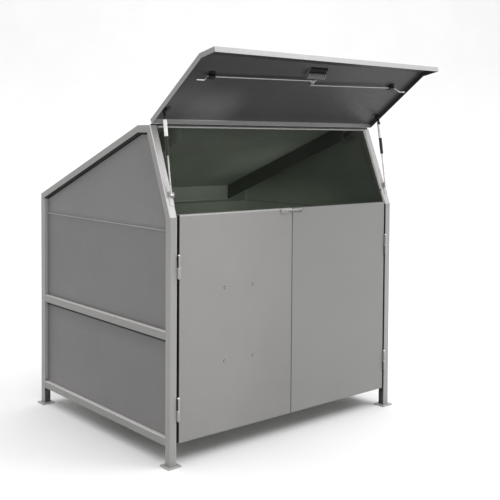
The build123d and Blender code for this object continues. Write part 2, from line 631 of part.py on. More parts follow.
for side, sx in (("left", -1), ("right", 1)):
    X = STRUT_X[sx]

    def axis_plane(d):
        s, z = along(d)
        return Plane(origin=(X, Y(s), z), x_dir=(1, 0, 0), z_dir=(0, DS, DZ))

    with BuildPart() as socket:
        with BuildSketch(Plane.YZ.offset(X - 7)):
            with Locations(P(p1s, p1z)):
                Circle(8.5)
        extrude(amount=14)
        with BuildSketch(axis_plane(5)):
            Circle(6)
        extrude(amount=CYL_A - 5)
        with BuildSketch(Plane.YZ.offset(X - 8)):
            with Locations(P(p1s, p1z)):
                Circle(4 + FIT)
        extrude(amount=16, mode=Mode.SUBTRACT)
    socket.part.label = f"strut_top_socket_{side}"
    export_step(socket.part, f"parts/strut_top_socket_{side}.step")

    with BuildPart() as cyl:
        with BuildSketch(axis_plane(CYL_A)):
            Circle(CYL_R)
        extrude(amount=CYL_B - CYL_A)
        with BuildSketch(axis_plane(CYL_A + 4)):
            Circle(CYL_R - 2)
        extrude(amount=CYL_B - CYL_A - 10, mode=Mode.SUBTRACT)
        with BuildSketch(axis_plane(CYL_B - 7)):
            Circle(ROD_R + FIT)
        extrude(amount=8, mode=Mode.SUBTRACT)
        fillet(cyl.edges().filter_by(GeomType.CIRCLE).sort_by(Axis.Z)[0], 1.5)
    cyl.part.label = f"strut_cylinder_{side}"
    export_step(cyl.part, f"parts/strut_cylinder_{side}.step")

    with BuildPart() as prod:
        # piston and rod
        with BuildSketch(axis_plane(CYL_B - 17)):
            Circle(CYL_R - 2 - FIT)
        extrude(amount=8)
        with BuildSketch(axis_plane(CYL_B - 9)):
            Circle(ROD_R)
        extrude(amount=LOPEN - LOW_END - CYL_B + 9)
    prod.part.label = f"strut_rod_{side}"
    export_step(prod.part, f"parts/strut_rod_{side}.step")

    with BuildPart() as low:
        with BuildSketch(axis_plane(LOPEN - LOW_END)):
            Circle(6)
        extrude(amount=LOW_END - 4)
        with BuildSketch(Plane.YZ.offset(X - 7)):
            with Locations(P(p2s, p2z)):
                Circle(8)
        extrude(amount=14)
        with BuildSketch(Plane.YZ.offset(X + 7 if sx > 0 else X - 10)):
            with Locations(P(p2s, p2z)):
                Circle(4.5)
        extrude(amount=3)
    low.part.label = f"strut_low_socket_{side}"
    export_step(low.part, f"parts/strut_low_socket_{side}.step")

# ---------------------------------------------------------------------------
# doors
# ---------------------------------------------------------------------------
HX = IN - DOOR_GAP / 2      # hinge axis, each side
HS = -HINGE_PROUD
LATCH_X, LATCH_Z = 53.0, 1197.0
dz0, dz1 = DOOR_Z

for side, sx in (("left", -1), ("right", 1)):
    xa, xb = sorted((sx * (IN - DOOR_GAP), sx * SEAM / 2))
    with BuildPart() as door:
        with BuildSketch(Plane.XZ.offset(-Y(0))):
            with BuildLine():
                Polyline((xa, dz0), (xb, dz0), (xb, dz1), (xa, dz1), close=True)
            make_face()
        extrude(amount=-DOOR_DEEP)
        fillet(door.edges().group_by(Axis.Y)[0], BEND_R)
        with BuildSketch(Plane.XZ.offset(-Y(SHEET))):
            with BuildLine():
                Polyline((xa + SHEET, dz0 + SHEET), (xb - SHEET, dz0 + SHEET), (xb - SHEET, dz1 - SHEET), (xa + SHEET, dz1 - SHEET), close=True)
            make_face()
        extrude(amount=-DOOR_DEEP, mode=Mode.SUBTRACT)
        if sx > 0:
            with BuildSketch(Plane.XZ.offset(-Y(-1))):
                with Locations((LATCH_X, LATCH_Z)):
                    Circle(4)
            extrude(amount=-5, mode=Mode.SUBTRACT)
    door.part.label = f"door_{side}"
    export_step(door.part, f"parts/door_{side}.step")

    # upper halves of the bullet hinges, welded to the door edge
    with BuildPart() as sockets:
        for hz in HINGE_Z:
            zb = hz + HINGE_LOW + 0.4
            with BuildSketch(Plane.XY.offset(zb)):
                with Locations((sx * HX, Y(HS))):
                    Circle(HINGE_R - 0.5)
            extrude(amount=HINGE_UP - 4)
            with BuildSketch(Plane.XY.offset(zb + HINGE_UP - 4)):
                with Locations((sx * HX, Y(HS))):
                    Circle(HINGE_R - 0.5)
            extrude(amount=4, taper=40)
            with BuildSketch(Plane.XY.offset(zb + 3)):
                with BuildLine():
                    x1, x2 = sx * HX, sx * (IN - DOOR_GAP)
                    Polyline((x1, Y(HS + 3)), (x2, Y(HS + 3)), (x2, Y(14)), (x1 - sx * 1.5, Y(14)), close=True)
                make_face()
            extrude(amount=HINGE_UP - 12)
            with BuildSketch(Plane.XY.offset(zb - 1)):
                with Locations((sx * HX, Y(HS))):
                    Circle(PIN_R + FIT)
            extrude(amount=36, mode=Mode.SUBTRACT)
    sockets.part.label = f"door_hinge_upper_{side}"
    export_step(sockets.part, f"parts/door_hinge_upper_{side}.step")

# lower halves of the bullet hinges, welded to the posts
with BuildPart() as lowers:
    for sx in (-1, 1):
        for hz in HINGE_Z:
            with BuildSketch(Plane.XY.offset(hz + 4)):
                with Locations((sx * HX, Y(HS))):
                    Circle(HINGE_R)
            extrude(amount=HINGE_LOW - 4)
            with BuildSketch(Plane.XY.offset(hz + 4)):
                with Locations((sx * HX, Y(HS))):
                    Circle(HINGE_R)
            extrude(amount=-4, taper=40)
            with BuildSketch(Plane.XY.offset(hz + 6)):
                with BuildLine():
                    x1, x2 = sx * HX, sx * IN
                    Polyline((x1, Y(HS + 3)), (x2, Y(HS + 3)), (x2, Y(14)), (x1 + sx * 1.5, Y(14)), close=True)
                make_face()
            extrude(amount=HINGE_LOW - 10)
            with BuildSketch(Plane.XY.offset(hz + 15)):
                with Locations((sx * HX, Y(HS))):
                    Circle(PIN_R)
            extrude(amount=HINGE_LOW, mode=Mode.SUBTRACT)
lowers.part.label = "door_hinge_lower"
export_step(lowers.part, "parts/door_hinge_lower.step")

with BuildPart() as door_pins:
    for sx in (-1, 1):
        for hz in HINGE_Z:
            with BuildSketch(Plane.XY.offset(hz + 15)):
                with Locations((sx * HX, Y(HS))):
                    Circle(PIN_R)
            extrude(amount=HINGE_LOW - 15 + 34)
door_pins.part.label = "door_hinge_pins"
export_step(door_pins.part, "parts/door_hinge_pins.step")

# flat stops behind the hinge edges of the doors
with BuildPart() as stops:
    for sx in (-1, 1):
        xa, xb = sorted((sx * IN, sx * (IN - 24)))
        with BuildSketch(Plane.XY.offset(150)):
            with BuildLine():
                Polyline((xa, Y(32)), (xb, Y(32)), (xb, Y(35)), (xa, Y(35)), close=True)
            make_face()
        extrude(amount=1020)
stops.part.label = "door_stops"
export_step(stops.part, "parts/door_stops.step")

# drop latch: keeper on the left door, bar on a domed bolt on the right door
with BuildPart() as keeper:
    with BuildSketch(Plane.YZ.offset(-84)):
        with BuildLine():
            Polyline(P(0, 1183.5), P(0, 1209), P(-1.5, 1209), P(-1.5, 1189), P(-6.5, 1189), P(-6.5, 1206), P(-8, 1206), P(-8, 1183.5), close=True)
        make_face()
    extrude(amount=47)
keeper.part.label = "latch_keeper"
export_step(keeper.part, "parts/latch_keeper.step")

with BuildPart() as bar:
    with BuildSketch(Plane.XZ.offset(-Y(-2))):
        with BuildLine():
            Polyline((-80, LATCH_Z - 7.5), (LATCH_X, LATCH_Z - 7.5), (LATCH_X, LATCH_Z + 7.5), (-80, LATCH_Z + 7.5), close=True)
        make_face()
        with Locations((LATCH_X, LATCH_Z)):
            Circle(10)
            Circle(4 + FIT, mode=Mode.SUBTRACT)
    extrude(amount=4)
    fillet(bar.edges().filter_by(Axis.Y).group_by(Axis.X)[0], 3)
bar.part.label = "latch_bar"
export_step(bar.part, "parts/latch_bar.step")

with BuildPart() as pivot:
    with BuildSketch(Plane.XZ.offset(-Y(-6.4))):
        with Locations((LATCH_X, LATCH_Z)):
            Circle(8.5)
    extrude(amount=4)
    fillet(pivot.edges().group_by(Axis.Y)[0], 3.4)
    with BuildSketch(Plane.XZ.offset(-Y(SHEET))):
        with Locations((LATCH_X, LATCH_Z)):
            Circle(4)
    extrude(amount=SHEET + 6.4)
    # shoulder against the door, and the closed head inside it
    with BuildSketch(Plane.XZ.offset(-Y(0))):
        with Locations((LATCH_X, LATCH_Z)):
            Circle(8)
    extrude(amount=1.6)
    with BuildSketch(Plane.XZ.offset(-Y(SHEET))):
        with Locations((LATCH_X, LATCH_Z)):
            Circle(7)
    extrude(amount=-3)
pivot.part.label = "latch_pivot"
export_step(pivot.part, "parts/latch_pivot.step")

# four dome rivets on the left door
with BuildPart() as rivets:
    with BuildSketch(Plane.XZ.offset(-Y(0))):
        with Locations((-457, 833), (-272, 832), (-457, 465), (-272, 465)):
            Circle(4)
    extrude(amount=2)
    fillet(rivets.edges().group_by(Axis.Y)[0], 1.5)
rivets.part.label = "door_rivets"
export_step(rivets.part, "parts/door_rivets.step")
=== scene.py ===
import math

import bmesh
import bpy
from mathutils import Matrix, Vector


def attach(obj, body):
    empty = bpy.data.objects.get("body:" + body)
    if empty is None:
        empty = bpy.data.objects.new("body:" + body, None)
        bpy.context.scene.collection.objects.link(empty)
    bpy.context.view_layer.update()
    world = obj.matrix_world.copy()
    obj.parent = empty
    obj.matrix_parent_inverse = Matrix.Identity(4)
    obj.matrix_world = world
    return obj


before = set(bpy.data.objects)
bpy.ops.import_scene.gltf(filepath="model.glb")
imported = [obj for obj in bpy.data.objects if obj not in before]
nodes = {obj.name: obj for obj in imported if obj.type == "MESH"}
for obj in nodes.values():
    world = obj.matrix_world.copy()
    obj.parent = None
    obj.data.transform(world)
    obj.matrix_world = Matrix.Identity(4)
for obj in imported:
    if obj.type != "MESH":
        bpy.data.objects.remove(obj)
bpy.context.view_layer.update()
scene = bpy.context.scene

# ---------------------------------------------------------------------------
# dimensions repeated from the part, in metres
# ---------------------------------------------------------------------------
HW, IN, DEPTH, TUBE = 0.7875, 0.7475, 1.330, 0.040
PHI = math.radians(36.5)
U = Vector((0, -math.cos(PHI), math.sin(PHI)))        # along the lid, away from the hinge
N = Vector((0, -math.sin(PHI), -math.cos(PHI)))       # to the inside of the lid
BASE = Vector((0, 0.1733577 - 0.665, 1.6664366))
X = Vector((1, 0, 0))
STRUT_X = {"left": -0.762, "right": 0.774}
STRUT_P = (-0.573865, 1.709987)
STRUT_D = Vector((0, -0.151238, -0.988497))
LOCK = (0.028, 0.356)
# side outline, front foot to rear foot, as (depth behind the posts' front, height)
OUT = [(0, 0.006), (0, 1.2), (0.176, 1.64), (0.288, 1.64), (1.33, 1.246), (1.33, 0.006)]
SLOPE = math.atan2(0.44, 0.176)


def lid_at(x, u, n):
    return BASE + X * x + U * u + N * n


# ---------------------------------------------------------------------------
# material helpers: every colour, roughness and bump comes from object space
# ---------------------------------------------------------------------------
class Tree:
    def __init__(self, name):
        self.mat = bpy.data.materials.new(name)
        self.mat.use_nodes = True
        self.nt = self.mat.node_tree
        self.nt.nodes.clear()
        out = self.nt.nodes.new("ShaderNodeOutputMaterial")
        self.bsdf = self.nt.nodes.new("ShaderNodeBsdfPrincipled")
        self.nt.links.new(self.bsdf.outputs[0], out.inputs[0])
        self.tc = self.nt.nodes.new("ShaderNodeTexCoord")

    def node(self, kind, **props):
        n = self.nt.nodes.new(kind)
        for k, v in props.items():
            setattr(n, k, v)
        return n

    def link(self, a, b):
        self.nt.links.new(a, b)

    def coords(self, stretch=(1, 1, 1)):
        m = self.node("ShaderNodeMapping")
        m.inputs["Scale"].default_value = stretch
        self.link(self.tc.outputs["Object"], m.inputs["Vector"])
        return m.outputs[0]

    def noise(self, scale, detail=2.0, rough=0.5, stretch=(1, 1, 1), distortion=0.0):
        n = self.node("ShaderNodeTexNoise")
        n.inputs["Scale"].default_value = scale
        n.inputs["Detail"].default_value = detail
        n.inputs["Roughness"].default_value = rough
        n.inputs["Distortion"].default_value = distortion
        self.link(self.coords(stretch), n.inputs["Vector"])
        return n.outputs[0]

    def range(self, value, a, b, lo, hi, smooth=True):
        r = self.node("ShaderNodeMapRange")
        if smooth:
            r.interpolation_type = "SMOOTHSTEP"
        for k, v in zip(("From Min", "From Max", "To Min", "To Max"), (a, b, lo, hi)):
            r.inputs[k].default_value = v
        self.link(value, r.inputs["Value"])
        return r.outputs[0]

    def math(self, op, a, b):
        m = self.node("ShaderNodeMath", operation=op)
        for i, v in enumerate((a, b)):
            if isinstance(v, (int, float)):
                m.inputs[i].default_value = v
            else:
                self.link(v, m.inputs[i])
        return m.outputs[0]

    def mix(self, fac, a, b, blend="MIX"):
        m = self.node("ShaderNodeMix", data_type="RGBA", blend_type=blend)
        if isinstance(fac, (int, float)):
            m.inputs[0].default_value = fac
        else:
            self.link(fac, m.inputs[0])
        for i, v in ((6, a), (7, b)):
            if isinstance(v, (tuple, list)):
                m.inputs[i].default_value = (*v, 1)
            else:
                self.link(v, m.inputs[i])
        return m.outputs[2]

    def axis(self, name):
        s = self.node("ShaderNodeSeparateXYZ")
        self.link(self.tc.outputs["Object"], s.inputs[0])
        return s.outputs[name]

    def near(self, at, reach, lo, hi):
        """lo at the point at, changing softly to hi at the distance reach."""
        v = self.node("ShaderNodeVectorMath", operation="DISTANCE")
        v.inputs[1].default_value = at
        self.link(self.tc.outputs["Object"], v.inputs[0])
        return self.range(v.outputs["Value"], 0.0, reach, lo, hi)

    def bump(self, *layers):
        """layers of (height, distance in metres, strength), laid on each other."""
        last = None
        for height, distance, strength in layers:
            b = self.node("ShaderNodeBump")
            b.inputs["Distance"].default_value = distance
            b.inputs["Strength"].default_value = strength
            self.link(height, b.inputs["Height"])
            if last is not None:
                self.link(last, b.inputs["Normal"])
            last = b.outputs[0]
        self.link(last, self.bsdf.inputs["Normal"])

    def set(self, **values):
        for k, v in values.items():
            self.bsdf.inputs[k.replace("_", " ")].default_value = v


def scaled(c, k):
    return tuple(v * k for v in c)


def paint(name, rgb, rough=0.42, vary=0.05, wave=0.0, dust=0.0, spots=0.0, specular=0.5, low_shade=0.0, line=None, inner=None, gap=None, shading_ramps=(), shading_band=None, light_patches=()):
    """Sprayed paint on steel: broad mottling, fine orange peel, scuffs, and road dust low down.

    low_shade darkens the faces that look under the store near the ground, as painted shade;
    line is a second colour, a painted highlight, that reaches round the edge of the sloping
    posts as far as a set line; inner is the colour of the part that lies inside the side
    sheets; gap is a dark colour on the part beside the doors, as painted shade; shading_ramps
    lists (axis, from, to, factor, factor) for painted light and shade along an axis;
    shading_band is (y factor, z factor, constant, from, to, colour) for a strip of painted
    light and shade along an edge; light_patches lists (point, reach, factor) for soft patches
    of painted light and shade.
    """
    t = Tree(name)
    broad = t.noise(2.3, 3.0, 0.55)
    fine = t.noise(60.0, 3.0, 0.6)
    grain = t.noise(900.0, 2.0, 0.5)
    col = t.mix(t.range(broad, 0.3, 0.7, 0, 1), scaled(rgb, 1 - vary), scaled(rgb, 1 + vary))
    col = t.mix(t.range(fine, 0.35, 0.65, 0, 0.35), col, scaled(rgb, 1 - 0.6 * vary))
    col = t.mix(t.range(grain, 0.42, 0.62, 0.0, 0.22), col, scaled(rgb, 0.88))
    if spots:
        # small scuffs and rubbed places
        s = t.noise(13.0, 8.0, 0.72, stretch=(1, 1, 0.35))
        col = t.mix(t.range(s, 0.66, 0.76, 0, spots), col, scaled(rgb, 1.22))
        d = t.noise(21.0, 6.0, 0.7)
        col = t.mix(t.range(d, 0.68, 0.8, 0, spots), col, scaled(rgb, 0.72))
    if dust:
        z = t.axis("Z")
        low = t.range(z, 0.0, 0.32, 1, 0)
        patchy = t.math("MULTIPLY", low, t.range(t.noise(9.0, 5.0, 0.65), 0.3, 0.75, 0.25, 1))
        col = t.mix(t.math("MULTIPLY", patchy, dust), col, (0.315, 0.310, 0.300))
    # painted shade: faces turned in under the store are darkened near the ground
    if low_shade:
        pos = t.node("ShaderNodeSeparateXYZ")
        t.link(t.tc.outputs["Object"], pos.inputs[0])
        nor = t.node("ShaderNodeSeparateXYZ")
        t.link(t.tc.outputs["Normal"], nor.inputs[0])
        inward = t.math("ADD", t.math("MULTIPLY", pos.outputs[0], nor.outputs[0]), t.math("MULTIPLY", pos.outputs[1], nor.outputs[1]))
        mask = t.math("MULTIPLY", t.range(inward, -0.45, -0.15, 1, 0), t.range(pos.outputs[2], 0.10, 0.17, 1, 0))
        mask = t.math("MULTIPLY", mask, t.range(t.noise(16.0, 4.0, 0.6), 0.25, 0.6, 0.75, 1))
        col = t.mix(t.math("MULTIPLY", mask, low_shade), col, (0.016, 0.016, 0.015))
    # painted highlight: a light strip on the sloping posts' inner faces next to the front edge
    if line:
        pos = t.node("ShaderNodeSeparateXYZ")
        t.link(t.tc.outputs["Object"], pos.inputs[0])
        depth = t.math("ADD", t.math("MULTIPLY", t.math("ADD", pos.outputs[1], 0.665), -math.sin(SLOPE)),
                       t.math("MULTIPLY", t.math("SUBTRACT", pos.outputs[2], 1.2), math.cos(SLOPE)))
        depth = t.math("ADD", depth, t.range(t.noise(30.0, 3.0), 0.3, 0.7, -0.0008, 0.0008))
        col = t.mix(t.range(depth, -0.0150, -0.0135, 0, 1), col, line)
    if inner:
        mask = t.math("MULTIPLY", t.range(t.math("ABSOLUTE", t.axis("X"), 0), 0.7622, 0.7625, 1, 0), t.range(t.axis("Z"), 0.136, 0.138, 0, 1))
        mask = t.math("MULTIPLY", mask, t.range(t.axis("Y"), 0.6400, 0.6405, 1, 0))
        col = t.mix(mask, col, inner)
    # painted shade: darker beside the doors, above the bottom of the doors
    if gap:
        col = t.mix(t.range(t.axis("Z"), 0.112, 0.118, 0, 1), col, gap)
    # a strip of painted light and shade along an edge
    if shading_band:
        ky, kz, k0, a, b, tone = shading_band
        d = t.math("ADD", t.math("ADD", t.math("MULTIPLY", t.axis("Y"), ky), t.math("MULTIPLY", t.axis("Z"), kz)), k0)
        col = t.mix(t.range(d, a, b, 0, 1), col, tone)
    # soft patches of painted light and shade
    for at, reach, k in light_patches:
        col = t.mix(1.0, col, t.near(at, reach, k, 1.0), "MULTIPLY")
    # painted light and shade as ramps and steps along an axis
    for axis, a, b, fa, fb in shading_ramps:
        col = t.mix(1.0, col, t.range(t.axis(axis), a, b, fa, fb, smooth=False), "MULTIPLY")
    t.link(col, t.bsdf.inputs["Base Color"])
    t.link(t.range(fine, 0.25, 0.75, rough - 0.05, rough + 0.07), t.bsdf.inputs["Roughness"])
    layers = [(t.noise(420.0, 2.0), 0.0003, 0.12)]
    if wave:
        layers.append((t.noise(1.7, 1.0, 0.4), 0.02, wave))
    t.bump(*layers)
    t.set(IOR=1.48, Specular_IOR_Level=specular)
    return t.mat


def zinc(name, rgb=(0.66, 0.66, 0.64), rough=0.36, brushed=None):
    """Zinc-plated steel with a cloudy, slightly scratched surface."""
    t = Tree(name)
    cloud = t.noise(38.0, 4.0, 0.6)
    col = t.mix(t.range(cloud, 0.3, 0.7, 0, 1), scaled(rgb, 0.86), scaled(rgb, 1.06))
    dark = t.noise(140.0, 3.0, 0.6)
    col = t.mix(t.range(dark, 0.62, 0.75, 0, 0.45), col, scaled(rgb, 0.55))
    t.link(col, t.bsdf.inputs["Base Color"])
    t.link(t.range(cloud, 0.25, 0.75, rough - 0.08, rough + 0.1), t.bsdf.inputs["Roughness"])
    stretch = brushed or (1, 1, 1)
    t.bump((t.noise(700.0, 2.0, 0.5, stretch=stretch), 0.0002, 0.18))
    t.set(Metallic=1.0)
    return t.mat


def plastic(name, rgb, rough=0.5, specular=0.5):
    """Moulded plastic with a fine spark-eroded texture."""
    t = Tree(name)
    soft = t.noise(90.0, 3.0, 0.5)
    col = t.mix(t.range(soft, 0.3, 0.7, 0, 1), scaled(rgb, 0.85), scaled(rgb, 1.3))
    t.link(col, t.bsdf.inputs["Base Color"])
    t.link(t.range(soft, 0.3, 0.7, rough - 0.06, rough + 0.06), t.bsdf.inputs["Roughness"])
    t.bump((t.noise(1500.0, 2.0), 0.0002, 0.25))
    t.set(IOR=1.46, Specular_IOR_Level=specular)
    return t.mat


def pull_plastic(name):
    """The pull: grey finger part with stripes of painted light and shade for its ribs, and the shallow part towards the
    lid's free edge painted black as painted shade of a deep hollow.
    """
    t = Tree(name)
    pos = t.node("ShaderNodeSeparateXYZ")
    t.link(t.tc.outputs["Object"], pos.inputs[0])
    along = t.math("ADD", t.math("MULTIPLY", t.math("SUBTRACT", pos.outputs[1], BASE.y), U.y),
                   t.math("MULTIPLY", t.math("SUBTRACT", pos.outputs[2], BASE.z), U.z))
    soft = t.noise(90.0, 3.0, 0.5)
    # stripes of painted light and shade across the finger part, standing for its ribs
    rib = t.math("SINE", t.math("MULTIPLY", pos.outputs[0], math.tau / 0.0165), 0)
    grey = t.mix(t.range(rib, 0.55, 0.95, 0, 1), (0.098, 0.096, 0.096), (0.215, 0.212, 0.210))
    grey = t.mix(t.range(soft, 0.3, 0.7, 0, 0.5), grey, (0.070, 0.069, 0.069))
    edge = t.range(t.math("ABSOLUTE", t.math("ADD", pos.outputs[0], 0.005), 0), 0.0570, 0.0600, 0, 1)
    grey = t.mix(t.math("MULTIPLY", edge, 0.6), grey, (0.20, 0.198, 0.197))
    # painted shade: the part towards the free edge is black, for the shade of a deep hollow
    black = t.range(along, 0.4310, 0.4345, 0, 1)
    t.link(t.mix(black, grey, (0.006, 0.006, 0.006)), t.bsdf.inputs["Base Color"])
    t.link(t.range(soft, 0.3, 0.7, 0.50, 0.62), t.bsdf.inputs["Roughness"])
    t.bump((t.noise(1500.0, 2.0), 0.0002, 0.25))
    t.set(IOR=1.46, Specular_IOR_Level=0.10)
    return t.mat


GREY = (0.285, 0.2805, 0.275)
GREEN = (0.292, 0.331, 0.273)

# the frame paint is darkened on its inward faces near the ground, as painted shade
frame_mat = paint("frame_paint", GREY, rough=0.36, vary=0.04, dust=0.3, spots=0.2, low_shade=0.97)
# tops of the rails: a much lighter copy of the frame paint, as a painted highlight
rail_top_highlight_mat = paint("frame_paint_dusty", scaled(GREY, 2.3), rough=0.5, vary=0.08, spots=0.25)
# downward faces of the roof and ridge rails: near-black as painted shadow, with a patch of painted shade near the right
# end of the ridge; the part inside the sheets keeps the inside green
under_mat = paint("frame_paint_under", (0.040, 0.040, 0.039), rough=0.55, vary=0.1, spots=0.1, specular=0.15, inner=scaled(GREEN, 0.7),
                  light_patches=[((0.748, -0.350, 1.590), 0.16, 0.2)])
# the rail paint carries the same painted shade on inward faces near the ground
rail_mat = paint("frame_paint_rails", scaled(GREY, 0.86), rough=0.38, vary=0.04, dust=0.3, spots=0.2, low_shade=0.97)
# inward and front faces of the rear posts: lighter copies of the frame grey and the inside green, as painted light in
# the recess, with the frame's painted shade low down
rear_mat = paint("frame_paint_rear", scaled(GREY, 1.45), rough=0.36, vary=0.04, dust=0.3, spots=0.2, low_shade=0.97, inner=scaled(GREEN, 1.7))
# front faces of the sloping posts: a lighter copy of the frame paint as a painted highlight, darker near the top as
# painted shade under the lid and lighter low down
slope_highlight_mat = paint("frame_paint_slope", scaled(GREY, 1.38), rough=0.25, vary=0.04, spots=0.2,
                  shading_ramps=[("Z", 1.48, 1.63, 1.0, 0.72), ("Z", 1.22, 1.40, 1.14, 1.0)])
# rounded outer front edges of the sloping posts: a painted highlight
edge_highlight_mat = paint("frame_paint_worn_edge", scaled(GREY, 2.5), rough=0.3, vary=0.04, spots=0.2)
# roof rails: the lowest few millimetres of the outer face are near-black, as painted shadow
roof_rail_edge_shadow_mat = paint("frame_paint_roof", GREY, rough=0.36, vary=0.04, spots=0.2,
                      shading_band=(-0.35369, -0.93536, 0.288 * 0.35369 - 0.665 * 0.35369 + 1.64 * 0.93536, 0.0345, 0.0362, (0.035, 0.035, 0.034)))
# side sheets: the ramps on Z are painted light and shade, darker just under the middle rail as painted shadow and
# lighter just above the bottom rail against the shade there; the upper sheet is set 15 % lighter
sheet_mat = paint("sheet_paint", (0.153, 0.148, 0.148), rough=0.42, vary=0.05, wave=0.05, dust=0.10, spots=0.08,
                  shading_ramps=[("Z", 0.55, 0.70, 0.94, 1.0), ("Z", 1.138, 1.139, 1.0, 1.15), ("Z", 0.515, 0.605, 1.0, 0.80), ("Z", 0.612, 0.648, 1.0, 1.25),
                        ("Z", 0.137, 0.165, 1.25, 1.0), ("Z", 0.165, 0.40, 1.13, 1.0)])
roof_mat = paint("roof_paint", (0.30, 0.295, 0.29), rough=0.45, vary=0.07, wave=0.05, spots=0.2)
# inside coat: the ramps are painted light and shade, lighter towards the rear and low down, darker high up; a thin
# darker line at the lap of the side sheets and a patch near the right end of the ridge are painted shade
wall_mat = paint("inside_paint", scaled(GREEN, 0.70), rough=0.5, vary=0.10, wave=0.06, dust=0.1, spots=0.12, specular=0.3,
                 shading_ramps=[("Y", -0.56, 0.52, 0.52, 2.1), ("Z", 1.25, 1.5, 1.0, 0.8), ("Z", 1.20, 1.34, 1.4, 1.0),
                       ("Z", 1.1440, 1.1445, 1.0, 0.6), ("Z", 1.1485, 1.1490, 1.0, 1.667)],
                 light_patches=[((0.748, -0.340, 1.622), 0.10, 0.4)])
# inner faces of the sloping posts: a darker copy of the inside green as painted shade, with a near-white strip at the
# front edge as a painted highlight
edge_in_mat = paint("inside_paint_edge", scaled(GREEN, 0.34), rough=0.5, vary=0.10, spots=0.12, line=scaled(GREY, 3.2))
# roof tray: a lighter copy of the inside green, darker towards the front as painted shade under the lid, with a lighter
# patch as painted light
tray_mat = paint("tray_paint", scaled(GREEN, 1.18), rough=0.5, vary=0.12, wave=0.08, spots=0.12, specular=0.3,
                 shading_ramps=[("Y", -0.40, 0.36, 0.20, 1.08)], light_patches=[((0.410, 0.090, 1.453), 0.40, 1.65)])
# rear fold of the tray: a lighter copy, lighter still to the right, as painted light
tray_rear_mat = paint("tray_rear_paint", scaled(GREEN, 1.25), rough=0.5, vary=0.12, wave=0.08, spots=0.12, specular=0.3,
                      shading_ramps=[("X", -0.1, 0.5, 1.0, 1.4)])
# outer face of the left fold: a lighter copy as painted light
tray_left_mat = paint("tray_left_paint", scaled(GREEN, 0.84), rough=0.5, vary=0.12, wave=0.08, spots=0.12, specular=0.3)
# deep side folds and cut front ends: a dark copy as painted shade
tray_edge_mat = paint("tray_edge_paint", scaled(GREEN, 0.25), rough=0.55, vary=0.12, spots=0.15, shading_ramps=[("Y", -0.35, 0.45, 0.5, 1.7)])
# lip of the rear fold: a much lighter copy as a painted highlight
tray_lip_mat = paint("tray_lip_paint", scaled(GREEN, 2.1), rough=0.45, vary=0.1, spots=0.2)
# inside of the rear panel: painted light, growing much lighter towards the right, and darker above 1.144 m as painted
# shade
rear_in_mat = paint("rear_inside_paint", scaled(GREEN, 0.6), rough=0.5, vary=0.12, wave=0.08, dust=0.1, spots=0.12, specular=0.3,
                    shading_ramps=[("X", 0.1, 0.5, 1.9, 2.8), ("Z", 1.1420, 1.1440, 1.12, 0.72)])
# doors: the left door grows darker towards the middle and lighter towards the top as painted light and shade, with a
# lighter strip at its top edge as a painted highlight; the right door is a darker copy for the same fall of light
door_left_mat = paint("door_paint_left", (0.234, 0.230, 0.2255), rough=0.40, vary=0.05, wave=0.08, dust=0.18, spots=0.12,
                      shading_ramps=[("X", -0.38, 0.0, 1.0, 0.87), ("Z", 0.5, 1.2, 1.0, 1.09), ("Z", 1.2025, 1.2035, 1.0, 1.5)])
door_right_mat = paint("door_paint_right", (0.2055, 0.2050, 0.2005), rough=0.42, vary=0.02, wave=0.03, dust=0.15, spots=0.06)
lid_mat = paint("lid_paint", (0.37, 0.366, 0.362), rough=0.34, vary=0.04, wave=0.04, spots=0.12)
# underside of the lid: near-black as painted shade, with a lighter strip by the hinge and two soft lighter patches as
# painted light and reflection, darker towards the free edge
lid_under_mat = paint("lid_paint_inside", (0.048, 0.0465, 0.0472), rough=0.40, vary=0.10, wave=0.12, spots=0.0, specular=0.22,
                      shading_band=(-U.y, -U.z, BASE.y * U.y + BASE.z * U.z, -0.0095, -0.0070, (0.20, 0.198, 0.197)),
                      light_patches=[((-0.455, -0.567, 1.720), 0.23, 2.2), ((-0.680, -0.630, 1.765), 0.22, 1.5)], shading_ramps=[("Z", 1.76, 1.92, 1.06, 0.74)])
# side folds of the lid and of its lip, and the inside of its rear fold: darker copies of the lid paint, as painted
# shade
lid_edge_mat = paint("lid_paint_edge", (0.275, 0.271, 0.268), rough=0.38, vary=0.04, wave=0.04, spots=0.12)
lid_lip_mat = paint("lid_paint_lip_end", (0.270, 0.266, 0.263), rough=0.42, vary=0.06, spots=0.12)
lid_fold_mat = paint("lid_paint_fold", (0.315, 0.311, 0.309), rough=0.40, vary=0.06, spots=0.1)
zinc_mat = zinc("zinc_steel")
dull_mat = zinc("dull_zinc", (0.33, 0.33, 0.32), 0.5)
# near-black zinc used only as painted shade: the lid hinge leaves, the lower side of the latch pivot, the undersides of
# the latch, the sides of the rivets
shade_zinc_mat = zinc("dark_zinc", (0.11, 0.11, 0.11), 0.55)
hinge_mat = zinc("hinge_zinc", (0.36, 0.36, 0.35), 0.5)
rod_mat = zinc("bright_rod", (0.38, 0.38, 0.375), 0.38)
# ends of the lock rods: lighter zinc as a painted highlight
rod_tip_highlight_mat = zinc("worn_rod_tip", (0.68, 0.68, 0.67), 0.38)
# near-white zinc used as painted highlight on the tops and left ends of the latch bar and keeper
highlight_zinc_mat = zinc("bright_zinc", (0.95, 0.95, 0.94), 0.5)
washer_zinc_mat = zinc("washer_zinc", (0.55, 0.55, 0.54), 0.5)
# near-white paint on the hinge caps, a painted highlight
cap_highlight_mat = paint("hinge_cap", (0.85, 0.85, 0.84), rough=0.25, vary=0.03)
# base plates: a lighter copy of the frame paint, as painted light on their upward faces
plate_mat = paint("base_plate_paint", scaled(GREY, 1.45), rough=0.4, vary=0.08, spots=0.3)
